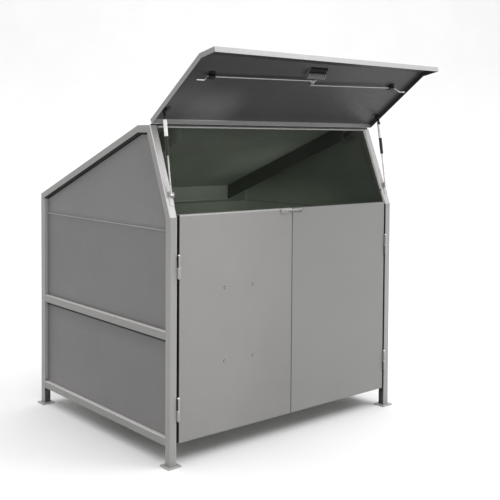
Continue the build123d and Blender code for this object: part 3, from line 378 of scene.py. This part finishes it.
# dark rings under the rivets, as painted shade
rivet_shade_mat = plastic("rivet_washer", (0.070, 0.070, 0.069), 0.6, 0.2)
chrome_mat = zinc("chromed_rod", (0.88, 0.88, 0.87), 0.16)
black_mat = paint("black_paint", (0.018, 0.018, 0.019), rough=0.34, vary=0.2, spots=0.3)
plastic_mat = plastic("black_plastic", (0.014, 0.014, 0.014))
socket_mat = plastic("black_socket", (0.007, 0.007, 0.007), 0.45, 0.2)
cup_mat = pull_plastic("pull_plastic")
# door hinges: a lighter copy of the frame paint on the lit side as painted light; the next paint is the painted shade
hinge_lit_mat = paint("door_hinge_paint", scaled(GREY, 1.12), rough=0.3, vary=0.08, spots=0.3)
hinge_shade_mat = paint("door_hinge_shade", scaled(GREY, 0.45), rough=0.4, vary=0.08, spots=0.2)
# near-black paint standing for the shade in the gaps by the doors: door stops, the doors' hinge edges, the shaded side
# of the upper left hinge
gap_shade_mat = paint("gap_paint", (0.034, 0.034, 0.033), rough=0.6, vary=0.2, spots=0.1, specular=0.2)
# rounded inner front edge of the left front post: a painted highlight
post_edge_highlight_mat = paint("frame_paint_post_edge", scaled(GREY, 2.0), rough=0.3, vary=0.04, spots=0.2)
# inner faces of the front posts: near-black beside the doors as painted shade, with the frame's painted shade low down
post_in_mat = paint("post_inside_paint", GREY, rough=0.4, vary=0.04, dust=0.3, spots=0.2, low_shade=0.97, gap=(0.05, 0.05, 0.049))
# rivet heads: a lighter copy of the frame paint as a painted highlight
rivet_highlight_mat = paint("rivet_paint", scaled(GREY, 1.9), rough=0.22, vary=0.06, spots=0.2)
# near-black for painted shadow: strips under the roof rails, the rails' outer lower fillets, the strip behind the lid
# hinge
shadow_strip_mat = plastic("black_rubber", (0.012, 0.012, 0.012), 0.75, 0.2)
# dark strip under the middle rail, as painted shadow
lower_seam_shadow_mat = plastic("seam_rubber", (0.040, 0.040, 0.040), 0.75, 0.2)
# pale strip above the seam hem, its colour set to give a thin line of painted shade
seam_shade_strip_mat = plastic("pale_seam_rubber", (0.320, 0.316, 0.314), 0.75, 0.2)
weld_mat = paint("painted_weld", GREY, rough=0.34, vary=0.1, spots=0.2)
# hem below the seam: lighter than the sheet, as a painted highlight
hem_highlight_mat = paint("hem_paint", scaled(GREY, 0.88), rough=0.34, vary=0.06, spots=0.25)


def finish(name, *mats):
    me = nodes[name].data
    me.materials.clear()
    for m in mats:
        me.materials.append(m)
    for p in me.polygons:
        p.material_index = 0
    return me


def by_normal(name, test, *mats):
    me = finish(name, *mats)
    for p in me.polygons:
        p.material_index = test(p)


for n in nodes:
    if n.startswith(("front_post", "mid_rail", "bottom_rail", "rear_")):
        finish(n, frame_mat)
for side in ("left", "right"):
    # the tops of the rails are painted much lighter, as a painted highlight from the light above
    for n in ("mid_rail", "bottom_rail"):
        by_normal(f"{n}_{side}", lambda p: 1 if p.normal.z > 0.5 else 0, rail_mat, rail_top_highlight_mat)
FRONT_N = Vector((0, -math.sin(SLOPE), math.cos(SLOPE)))
for side, sx in (("left", -1), ("right", 1)):
    # the inside of the upper frame has the inside coat; its downward faces are near-black as painted shadow, and so is
    # the outer lower fillet
    for n, outer in (("ridge_rail", frame_mat), ("roof_rail", roof_rail_edge_shadow_mat)):
        by_normal(f"{n}_{side}", lambda p: 1 if p.normal.x * sx < -0.2 else ((2 if p.normal.x * sx < 0.1 else 3) if p.normal.z < -0.2 else 0), outer, wall_mat, under_mat, shadow_strip_mat)
    # rear posts: the faces turned inwards and to the front take the painted light
    by_normal(f"rear_post_{side}", lambda p: 1 if p.normal.x * sx < -0.2 or p.normal.y < -0.2 else 0, frame_mat, rear_mat)
    # sloping posts: the inner faces take painted shade with a highlight strip, the front faces and their rounded edge
    # painted highlights
    by_normal(f"slope_post_{side}", lambda p: 1 if p.normal.x * sx < -0.7 else (3 if p.normal.x * sx > 0.25 and p.normal.dot(FRONT_N) > 0.25 else (2 if p.normal.dot(FRONT_N) > 0.6 else 0)), frame_mat, edge_in_mat, slope_highlight_mat, edge_highlight_mat)
    for n in ("lower", "middle", "upper"):
        by_normal(f"side_panel_{n}_{side}", lambda p: 1 if p.normal.x * sx < -0.5 else 0, sheet_mat, wall_mat)
    # front posts: the inner faces take painted shade, the left post's rounded inner front edge a painted highlight
    by_normal(f"front_post_{side}", lambda p: 1 if p.normal.x * sx < -0.8 else (2 if sx < 0 and p.normal.x * sx < -0.2 and p.normal.y < -0.2 else 0), frame_mat, post_in_mat, post_edge_highlight_mat)
finish("base_plates", plate_mat)
# door stops: painted shade
finish("door_stops", gap_shade_mat)
# the strut brackets on the posts take the painted highlight of the sloping posts
finish("strut_post_brackets", slope_highlight_mat)
by_normal("rear_panel", lambda p: 1 if p.normal.y < -0.5 else 0, sheet_mat, rear_in_mat)
by_normal("roof_sheet", lambda p: 1 if p.normal.z < -0.3 else 0, roof_mat, wall_mat)
by_normal("ridge_channel", lambda p: 1 if p.normal.z < -0.3 or (p.normal.y < -0.5 and p.center.y > -0.45) else 0, frame_mat, wall_mat)


def tray_face(p):
    """1 and 4 for the deep side folds and cut front ends, 2 for the lip of the rear fold, 3 for that fold, 0 for the rest."""
    if abs(p.normal.x) > 0.7:
        return 4 if p.center.x < 0 and p.normal.x < 0 else 1
    if p.normal.y < -0.7 and p.center.y < -0.3:
        return 1
    if 0.607 < p.center.y < 0.6145 and p.center.z < 1.165 and abs(p.center.x) < 0.584:
        return 2
    return 3 if p.normal.y < -0.7 and p.center.y > 0.59 else 0


# the folds of the tray take the lit and shaded copies of the tray paint
by_normal("roof_tray", tray_face, tray_mat, tray_edge_mat, tray_lip_mat, tray_rear_mat, tray_left_mat)
# doors: the hinge edges take painted shade, the left door's upward top faces a painted highlight
door_top_highlight_mat = paint("door_top_paint", scaled(GREY, 1.9), rough=0.3, vary=0.05, spots=0.2)
for n, sx, mat in (("door_left", -1, door_left_mat), ("door_right", 1, door_right_mat)):
    by_normal(n, lambda p: 1 if p.normal.x * sx > 0.7 and p.center.x * sx > 0.7 else (2 if p.normal.z > 0.3 and p.center.z > 1.19 else 0), mat, gap_shade_mat, door_top_highlight_mat if sx < 0 else mat)
# door hinges: the side turned from the light is painted shade (near-black, the rail paint or the shade paint), the rest
# painted light
SHADE_N = Vector((-0.764, 0.645, 0))
by_normal("door_hinge_upper_left", lambda p: 1 if p.normal.dot(SHADE_N) > 0.05 else 0, hinge_lit_mat, gap_shade_mat)
by_normal("door_hinge_upper_right", lambda p: 1 if p.normal.dot(SHADE_N) > 0.05 else 0, hinge_lit_mat, rail_mat)
by_normal("door_hinge_lower", lambda p: 1 if p.center.x > 0 and p.normal.dot(SHADE_N) > 0.05 else 0, hinge_lit_mat, hinge_shade_mat)
finish("door_hinge_pins", zinc_mat)


def lid_side(p):
    """0 outside, 1 inside of the pan, 2 inside of the rear fold, 3 side folds, 4 side folds of the lip."""
    d = p.center - BASE
    if p.normal.x * p.center.x > 0 and abs(p.normal.x) > 0.8:
        return 4 if d.dot(U) > 0.50 else 3
    if p.normal.dot(N) > 0.8:
        return 1 if d.dot(N) < 0.02 or (d.dot(U) > 0.5 and d.dot(N) < 0.06) else 0
    if p.normal.dot(U) > 0.8 and d.dot(U) < 0.02:
        return 2
    return 1 if p.normal.x * p.center.x < 0 and abs(p.normal.x) > 0.8 else 0


# the lid's underside and folds take the painted shade copies of the lid paint
by_normal("lid_panel", lid_side, lid_mat, lid_under_mat, lid_fold_mat, lid_edge_mat, lid_lip_mat)
# lid hinge leaves: only the knuckles keep the zinc, the rest is painted shade
for n in ("lid_hinge_fixed_leaf", "lid_hinge_moving_leaf"):
    by_normal(n, lambda p: 0 if math.hypot(p.center.y + 0.491, p.center.z - 1.632) < 0.0085 else 1, hinge_mat, shade_zinc_mat)
for n in ("lid_hinge_pins", "lock_bush"):
    finish(n, zinc_mat)
# latch pivot: the lower right side is painted shade
by_normal("latch_pivot", lambda p: 1 if p.normal.dot(Vector((0.55, 0, -0.83))) > -0.12 else 0, zinc_mat, shade_zinc_mat)
finish("lock_cam", dull_mat)
# latch bar and keeper: darker along the bottom as painted shadow and lighter along the top as a painted highlight;
# undersides take painted shade, tops and left ends painted highlight
bar_mat = paint("latch_bar_paint", (0.181, 0.180, 0.177), rough=0.35, vary=0.05, spots=0.1,
                shading_ramps=[("Z", 1.1895, 1.1935, 0.4, 1.0), ("Z", 1.2003, 1.2012, 1.0, 2.6)])
keeper_mat = paint("latch_keeper_paint", (0.232, 0.230, 0.227), rough=0.35, vary=0.05, spots=0.1,
                   shading_ramps=[("Z", 1.1835, 1.1870, 0.45, 1.0), ("Z", 1.2018, 1.2026, 1.0, 1.9)])
for n, front in (("latch_bar", bar_mat), ("latch_keeper", keeper_mat)):
    by_normal(n, lambda p: 1 if p.normal.z < -0.5 else (2 if p.normal.z > 0.5 or p.normal.x < -0.7 else 0), front, shade_zinc_mat, highlight_zinc_mat)
# door rivets: front faces painted highlight, the sides painted shade
by_normal("door_rivets", lambda p: 0 if p.normal.y < -0.75 else 1, rivet_highlight_mat, shade_zinc_mat)
# the ends of the lock rods take lighter zinc as painted highlight
for n, tip in (("lock_rod_left", rod_tip_highlight_mat), ("lock_rod_right", zinc("rod_tip_right", (0.48, 0.48, 0.475), 0.38))):
    by_normal(n, lambda p: 1 if abs(p.center.x) > 0.655 else 0, rod_mat, tip)
for side in ("left", "right"):
    finish(f"strut_cylinder_{side}", black_mat)
    finish(f"strut_rod_{side}", chrome_mat)
    finish(f"strut_top_socket_{side}", socket_mat)
    finish(f"strut_low_socket_{side}", zinc_mat)
finish("rod_guides", socket_mat)
by_normal("pull_cup", lambda p: 1 if p.normal.x < -0.7 and p.center.x < -0.06 else 0, cup_mat, plastic("pull_side", (0.125, 0.123, 0.122), 0.5, 0.3))
finish("t_handle", black_mat)
finish("strut_lid_brackets", black_mat)

# ---------------------------------------------------------------------------
# pieces built here
# ---------------------------------------------------------------------------


def add(name, bm, mat, body, smooth=40):
    me = bpy.data.meshes.new(name)
    bmesh.ops.recalc_face_normals(bm, faces=bm.faces)
    bm.to_mesh(me)
    bm.free()
    me.materials.append(mat)
    for p in me.polygons:
        p.use_smooth = True
    me.set_sharp_from_angle(angle=math.radians(smooth))
    o = bpy.data.objects.new(name, me)
    scene.collection.objects.link(o)
    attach(o, body)
    return o


def bead(bm, pts, r, closed=False, step=0.0045):
    """A weld run: a rounded bead along pts with the overlapping ripples of a hand weld."""
    pts = [Vector(p) for p in pts]
    if closed:
        pts.append(pts[0])
    line = []
    for a, b in zip(pts, pts[1:]):
        k = max(2, round((b - a).length / step * 2))
        line += [a.lerp(b, i / k) for i in range(k)]
    line.append(pts[-1])
    if closed:
        line.pop()
    rings = []
    count = len(line)
    for i, p in enumerate(line):
        a = line[(i - 1) % count] if closed or i else p
        b = line[(i + 1) % count] if closed or i < count - 1 else p
        d = (b - a).normalized()
        side = d.cross(Vector((0.31, 0.52, 0.79))).normalized()
        other = d.cross(side)
        rr = r * (1.08 if i % 2 else 0.86) * (1 + 0.08 * math.sin(i * 2.39))
        if not closed and i in (0, count - 1):
            rr *= 0.45
        rings.append([bm.verts.new(p + (side * math.cos(k * math.tau / 8) + other * math.sin(k * math.tau / 8)) * rr) for k in range(8)])
    pairs = list(zip(rings, rings[1:])) + ([(rings[-1], rings[0])] if closed else [])
    for ra, rb in pairs:
        for k in range(8):
            bm.faces.new((ra[k], ra[(k + 1) % 8], rb[(k + 1) % 8], rb[k]))
    if not closed:
        bm.faces.new(rings[0])
        bm.faces.new(rings[-1])


def rounded_loop(cx, cy, half, r, z, n=4):
    out = []
    for qx, qy, a0 in ((1, 1, 0), (-1, 1, 90), (-1, -1, 180), (1, -1, 270)):
        for k in range(n + 1):
            a = math.radians(a0 + 90 * k / n)
            out.append((cx + qx * (half - r) + r * math.cos(a), cy + qy * (half - r) + r * math.sin(a), z))
    return out


# weld round the foot of each post
bm = bmesh.new()
for sx in (-1, 1):
    for sy in (-1, 1):
        bead(bm, rounded_loop(sx * (HW - TUBE / 2), sy * (DEPTH - TUBE) / 2, TUBE / 2 + 0.0008, 0.005, 0.0072), 0.0024, closed=True)
add("foot_welds", bm, weld_mat, "frame")

# welds where the side and rear rails meet the posts
bm = bmesh.new()
for sx in (-1, 1):
    xo, xi = sx * (HW - 0.0022), sx * (IN + 0.0022)
    for z0, z1 in ((0.097, 0.137), (0.610, 0.650)):
        for y in (-DEPTH / 2 + TUBE, DEPTH / 2 - TUBE):
            q = 0.0012 if y < 0 else -0.0012
            bead(bm, [(xo, y - q, z0 + 0.003), (xo, y - q, z1 - 0.003)], 0.0024)
            bead(bm, [(xo - sx * 0.003, y + q, z1 + 0.0004), (xi + sx * 0.003, y + q, z1 + 0.0004)], 0.0022)
            bead(bm, [(xo - sx * 0.003, y + q, z0 - 0.0004), (xi + sx * 0.003, y + q, z0 - 0.0004)], 0.0022)
for z0, z1 in ((0.097, 0.137), (0.610, 0.650), (1.196, 1.236)):
    for sx in (-1, 1):
        y = DEPTH / 2 - 0.0022
        bead(bm, [(sx * (IN + 0.001), y, z0 + 0.003), (sx * (IN + 0.001), y, z1 - 0.003)], 0.0023)
add("rail_welds", bm, weld_mat, "frame")

# short stitch welds holding the side sheets in the frame, inside
bm = bmesh.new()
for sx in (-1, 1):
    x = sx * (HW - 0.0255)
    for z in (0.137, 0.610, 0.650):
        for k in range(5):
            y = -0.52 + k * 0.26
            bead(bm, [(x, y - 0.014, z + (0.0012 if z != 0.610 else -0.0012)), (x, y + 0.014, z + (0.0012 if z != 0.610 else -0.0012))], 0.0018)
add("sheet_welds", bm, weld_mat, "frame")

# welds of the door hinge leaves, on the doors and on the posts
for body, sides in (("left_door", (-1,)), ("right_door", (1,)), ("frame", (-1, 1))):
    bm = bmesh.new()
    for sx in sides:
        for z in (0.905, 0.218):
            if body == "frame":
                xw, za, zb = sx * (IN - 0.0003), z + 0.008, z + 0.047
            else:
                xw, za, zb = sx * (IN - 0.0135 + 0.0003), z + 0.060, z + 0.101
            bead(bm, [(xw, -0.665 + 0.0145, za), (xw, -0.665 + 0.0145, zb)], 0.0013)
    add(f"hinge_welds_{body}", bm, weld_mat, body)

# blank white sleeves on the strut cylinders
sleeve = Tree("label_sleeve")
film = sleeve.noise(55.0, 3.0, 0.5)
sleeve.link(sleeve.mix(sleeve.range(film, 0.3, 0.7, 0, 1), (0.80, 0.80, 0.79), (0.90, 0.90, 0.89)), sleeve.bsdf.inputs["Base Color"])
sleeve.link(sleeve.range(film, 0.3, 0.7, 0.32, 0.45), sleeve.bsdf.inputs["Roughness"])
sleeve.bump((sleeve.noise(260.0, 2.0), 0.0003, 0.1))
for side, sx in (("left", -1), ("right", 1)):
    bm = bmesh.new()
    o = Vector((STRUT_X[side], *STRUT_P))
    a1 = X
    a2 = STRUT_D.cross(X).normalized()
    prof = [(0.0460, 0.00905), (0.0462, 0.00925), (0.0470, 0.00930), (0.1255, 0.00930), (0.1263, 0.00925), (0.1265, 0.00905)]
    rings = []
    for d, r in prof:
        ring = []
        for k in range(48):
            a = math.tau * k / 48
            # the film laps over itself at the back
            rr = r + (0.00016 if 20 <= k < 27 else 0)
            ring.append(bm.verts.new(o + STRUT_D * d + (a1 * math.cos(a) + a2 * math.sin(a)) * rr))
        rings.append(ring)
    for ra, rb in zip(rings, rings[1:]):
        for k in range(48):
            bm.faces.new((ra[k], ra[(k + 1) % 48], rb[(k + 1) % 48], rb[k]))
    add(f"strut_sleeve_{side}", bm, sleeve.mat, f"{side}_strut", smooth=30)


def dome(bm, at, normal, r, h, rings=5, seg=20, recess=0.0):
    """A domed head: rivet or pan-head screw."""
    n = Vector(normal).normalized()
    a = n.cross(Vector((0.3, 0.5, 0.8))).normalized()
    b = n.cross(a)
    rows = []
    for i in range(rings + 1):
        t = i / rings * math.pi / 2
        rr, hh = r * math.cos(t), h * math.sin(t)
        if i == rings:
            rows.append([bm.verts.new(Vector(at) + n * (h - recess))])
        else:
            rows.append([bm.verts.new(Vector(at) + n * hh + (a * math.cos(k * math.tau / seg) + b * math.sin(k * math.tau / seg)) * rr) for k in range(seg)])
    for ra, rb in zip(rows, rows[1:]):
        for k in range(seg):
            if len(rb) == 1:
                bm.faces.new((ra[k], ra[(k + 1) % seg], rb[0]))
            else:
                bm.faces.new((ra[k], ra[(k + 1) % seg], rb[(k + 1) % seg], rb[k]))
    bm.faces.new(rows[0])


# rivets of the lid hinge on the inside of the rear fold
bm = bmesh.new()
for x in (0.0045, 0.031):
    dome(bm, lid_at(x, 0.002, 0.0205), U, 0.0032, 0.0018)
add("hinge_rivets", bm, zinc_mat, "lid")

# screws of the rod guides
bm = bmesh.new()
for sx in (-1, 1):
    for dv in (-0.0182, 0.0182):
        dome(bm, lid_at(sx * 0.640, 0.356 + dv, 0.007), N, 0.0042, 0.0024, recess=0.0009)
add("guide_screws", bm, socket_mat, "lid")

# nut that holds the cam on its spindle
bm = bmesh.new()
c = lid_at(*LOCK, 0.0090)
rows = []
for n_, r in ((0.0, 0.0055), (0.0005, 0.0060), (0.0042, 0.0060), (0.0048, 0.0054)):
    rows.append([bm.verts.new(c + N * n_ + (X * math.cos(k * math.tau / 6) + U * math.sin(k * math.tau / 6)) * r) for k in range(6)])
for ra, rb in zip(rows, rows[1:]):
    for k in range(6):
        bm.faces.new((ra[k], ra[(k + 1) % 6], rb[(k + 1) % 6], rb[k]))
bm.faces.new(rows[-1])
bm.faces.new(rows[0])
rows = []
for n_, r in ((0.0, 0.003), (0.0060, 0.003), (0.0066, 0.0024)):
    rows.append([bm.verts.new(c + N * n_ + (X * math.cos(k * math.tau / 20) + U * math.sin(k * math.tau / 20)) * r) for k in range(20)])
for ra, rb in zip(rows, rows[1:]):
    for k in range(20):
        bm.faces.new((ra[k], ra[(k + 1) % 20], rb[(k + 1) % 20], rb[k]))
bm.faces.new(rows[-1])
bm.faces.new(rows[0])
add("cam_nut", bm, zinc_mat, "lock_spindle", smooth=25)



def outline(offsets):
    """Corners of the side outline with each member's line moved inwards by its own offset."""
    lines = []
    for (a, b), d in zip(zip(OUT, OUT[1:]), offsets):
        dx, dz = b[0] - a[0], b[1] - a[1]
        k = math.hypot(dx, dz)
        lines.append(((a[0] + dz / k * d, a[1] - dx / k * d), (dx / k, dz / k)))
    pts = []
    for (q, u), (r, v) in zip(lines, lines[1:]):
        det = -u[0] * v[1] + v[0] * u[1]
        k = (-(r[0] - q[0]) * v[1] + v[0] * (r[1] - q[1])) / det
        pts.append((q[0] + u[0] * k, q[1] + u[1] * k))
    return pts


def strip(bm, a, b, x, h):
    """A low profile strip between the edge lines a and b on the plane x, standing h proud."""
    rows = []
    for (s0, z0), (s1, z1) in zip(a, b):
        row = []
        for k, e in ((0, 0), (0.12, 0.8), (0.3, 1), (0.7, 1), (0.88, 0.8), (1, 0)):
            row.append(bm.verts.new((x + h * e, s0 + (s1 - s0) * k - 0.665, z0 + (z1 - z0) * k)))
        rows.append(row)
    for ra, rb in zip(rows, rows[1:]):
        for k in range(len(ra)):
            m_ = (k + 1) % len(ra)
            bm.faces.new((ra[k], ra[m_], rb[m_], rb[k]))
    bm.faces.new(rows[0])
    bm.faces.new(rows[-1])


# dark strip round the top of the upper side sheets, a painted shadow under the sloping posts, the ridge rails and the
# roof rails
A_ = outline([0.040] * 5)
B_ = outline([0.040, 0.0435, 0.0470, 0.0460, 0.0410])
bm = bmesh.new()
for sx in (-1, 1):
    strip(bm, A_, B_, sx * (HW - 0.0240), sx * 0.0024)
add("panel_seals", bm, shadow_strip_mat, "frame")

# the same painted shadow under the middle rail, along the top of the lower sheets
bm = bmesh.new()
for sx in (-1, 1):
    strip(bm, [(0.0402, 0.6098), (1.2898, 0.6098)], [(0.0402, 0.5930), (1.2898, 0.5930)], sx * (HW - 0.0220), sx * 0.0022)
add("lower_panel_seals", bm, lower_seam_shadow_mat, "frame")

# hem hanging from the top edge of the middle sheet, lighter than the sheet as a painted highlight, and above it a pale
# strip that stands for a thin line of contact shade
bm = bmesh.new()
for sx in (-1, 1):
    strip(bm, [(0.0402, 1.1378), (1.2898, 1.1378)], [(0.0402, 1.1300), (1.2898, 1.1300)], sx * (HW - 0.0172), sx * 0.0012)
add("seam_hems", bm, hem_highlight_mat, "frame")
# the strip above the hem, standing for the thin line of contact shade there
bm = bmesh.new()
for sx in (-1, 1):
    strip(bm, [(0.0402, 1.1418), (1.2898, 1.1418)], [(0.0402, 1.1384), (1.2898, 1.1384)], sx * (HW - 0.0240), sx * 0.0022)
add("seam_seals", bm, seam_shade_strip_mat, "frame")

# black strip on the ridge behind the lid hinge, a painted shadow that fills the gap there
bm = bmesh.new()
rows = []
for x in (-0.7780, -0.7770, 0.7770, 0.7780):
    k = 0.6 if abs(x) > 0.7775 else 1
    rows.append([bm.verts.new((x, -0.665 + 0.1825 + y * k, 1.6400 + z * k)) for y, z in
                 ((-0.0045, 0), (-0.0045, 0.0040), (-0.0032, 0.0056), (-0.001, 0.0063), (0.001, 0.0063), (0.0032, 0.0056), (0.0045, 0.0040), (0.0045, 0))])
for ra, rb in zip(rows, rows[1:]):
    for k in range(8):
        bm.faces.new((ra[k], ra[(k + 1) % 8], rb[(k + 1) % 8], rb[k]))
bm.faces.new(rows[0])
bm.faces.new(rows[-1])
add("ridge_seal", bm, shadow_strip_mat, "frame")

# washers at the joint of the door hinges, and near-white caps on top of them as painted highlights
bm = bmesh.new()
for sx in (-1, 1):
    for z in (0.905, 0.218):
        rows = []
        for r, h in ((0.00795, 0.0500), (0.0086, 0.0501), (0.0089, 0.0505), (0.0089, 0.0546), (0.0086, 0.0550), (0.00795, 0.0551)):
            rows.append([bm.verts.new((sx * 0.74075 + r * math.cos(k * math.tau / 32), -0.671 + r * math.sin(k * math.tau / 32), z + h)) for k in range(32)])
        for ra, rb in zip(rows, rows[1:] + rows[:1]):
            for k in range(32):
                bm.faces.new((ra[k], ra[(k + 1) % 32], rb[(k + 1) % 32], rb[k]))
add("hinge_washers", bm, washer_zinc_mat, "frame", smooth=30)
for body, sx in (("left_door", -1), ("right_door", 1)):
    bm = bmesh.new()
    for z in (0.905, 0.218):
        dome(bm, (sx * 0.74075, -0.671, z + 0.1122), (0, 0, 1), 0.0068, 0.0058)
    add(f"hinge_caps_{body}", bm, cap_highlight_mat, body)

# dark rings under the four rivets of the left door, as painted shade round the rivets
bm = bmesh.new()
for x, z in ((-0.457, 0.833), (-0.272, 0.832), (-0.457, 0.465), (-0.272, 0.465)):
    rows = []
    for r, h in ((0.0039, 0.0), (0.0039, 0.0009), (0.0070, 0.0007), (0.0075, 0.0003), (0.0075, 0.0)):
        rows.append([bm.verts.new((x + r * math.cos(k * math.tau / 28), -0.665 - h, z + r * math.sin(k * math.tau / 28))) for k in range(28)])
    for ra, rb in zip(rows, rows[1:] + rows[:1]):
        for k in range(28):
            bm.faces.new((ra[k], ra[(k + 1) % 28], rb[(k + 1) % 28], rb[k]))
add("rivet_washers", bm, rivet_shade_mat, "left_door", smooth=30)

# ---------------------------------------------------------------------------
# floor, light and camera
# ---------------------------------------------------------------------------
yaw, pitch, roll = (math.radians(v) for v in (40.19, 2.07, 0.37))
fwd = Vector((math.sin(yaw) * math.cos(pitch), math.cos(yaw) * math.cos(pitch), -math.sin(pitch)))
right = Vector((math.cos(yaw), -math.sin(yaw), 0))
up = right.cross(fwd)
r2 = right * math.cos(roll) + up * math.sin(roll)
u2 = up * math.cos(roll) - right * math.sin(roll)
eye = Vector((-3.10636, -3.99167, 1.57662))

cam = bpy.data.cameras.new("camera")
cam.sensor_width = 36
cam.sensor_fit = "HORIZONTAL"
cam.lens = 858.05 / 500 * 36
cam.shift_x = -0.0004
cam.shift_y = -0.1608
cam.clip_end = 200
camera = bpy.data.objects.new("camera", cam)
m = Matrix.Identity(4)
for i in range(3):
    m[i][0], m[i][1], m[i][2], m[i][3] = r2[i], u2[i], -fwd[i], eye[i]
camera.matrix_world = m
scene.collection.objects.link(camera)
scene.camera = camera

# pale floor that curves up into a backdrop well behind the object
flat = Vector((fwd.x, fwd.y, 0)).normalized()
bm = bmesh.new()
prof = [(-16.0, 0.0), (8.0, 0.0)]
for k in range(1, 13):
    a = math.pi / 2 * k / 12
    prof.append((8.0 + 3.0 * math.sin(a), 3.0 * (1 - math.cos(a))))
prof.append((11.0, 12.0))
rows = []
for d, z in prof:
    p = flat * d + Vector((0, 0, z - 0.0006))
    rows.append((bm.verts.new(p - right * 18), bm.verts.new(p + right * 18)))
for (a, b), (c_, d_) in zip(rows, rows[1:]):
    bm.faces.new((a, b, d_, c_))
me = bpy.data.meshes.new("floor")
bm.to_mesh(me)
bm.free()
for p in me.polygons:
    p.use_smooth = True
ft = Tree("floor")
ft.link(ft.mix(ft.range(ft.noise(1.2, 2.0), 0.3, 0.7, 0, 1), (0.92, 0.92, 0.92), (0.94, 0.94, 0.94)), ft.bsdf.inputs["Base Color"])
ft.set(Roughness=0.9, Specular_IOR_Level=0.1)
me.materials.append(ft.mat)
floor = bpy.data.objects.new("floor", me)
scene.collection.objects.link(floor)

world = bpy.data.worlds.new("studio")
scene.world = world
world.use_nodes = True
wt = world.node_tree
wt.nodes.clear()
wo = wt.nodes.new("ShaderNodeOutputWorld")
bg = wt.nodes.new("ShaderNodeBackground")
wt.links.new(bg.outputs[0], wo.inputs[0])
bg.inputs["Color"].default_value = (1.0, 1.0, 1.0, 1)
bg.inputs["Strength"].default_value = 0.58


def area(name, at, look, size, power, colour=(1, 1, 1)):
    l = bpy.data.lights.new(name, "AREA")
    l.shape = "RECTANGLE"
    l.size, l.size_y = size
    l.energy = power
    l.color = colour
    o = bpy.data.objects.new(name, l)
    o.location = at
    o.rotation_euler = (Vector(look) - Vector(at)).to_track_quat("-Z", "Y").to_euler()
    scene.collection.objects.link(o)
    return o


# one broad overhead source, as soft as a large diffuser, and a low one in front that reaches inside
key = bpy.data.lights.new("key", "SUN")
key.energy = 1.75
key.angle = math.radians(75)
key_obj = bpy.data.objects.new("key", key)
key_obj.rotation_euler = Vector((0.06, 0.13, -0.97)).to_track_quat("-Z", "Y").to_euler()
scene.collection.objects.link(key_obj)
area("front", (1.2, -7.5, 1.9), (0, 0, 1.35), (3.2, 1.8), 50)
area("high", (3.4, -4.1, 4.4), (0, -0.5, 1.4), (3.4, 1.2), 120)
area("backdrop", (3.0, 3.5, 6.0), (6.5, 7.8, 1.0), (8, 3), 60)

scene.view_settings.view_transform = "Standard"
scene.view_settings.look = "None"
scene.view_settings.exposure = 0
scene.view_settings.gamma = 1
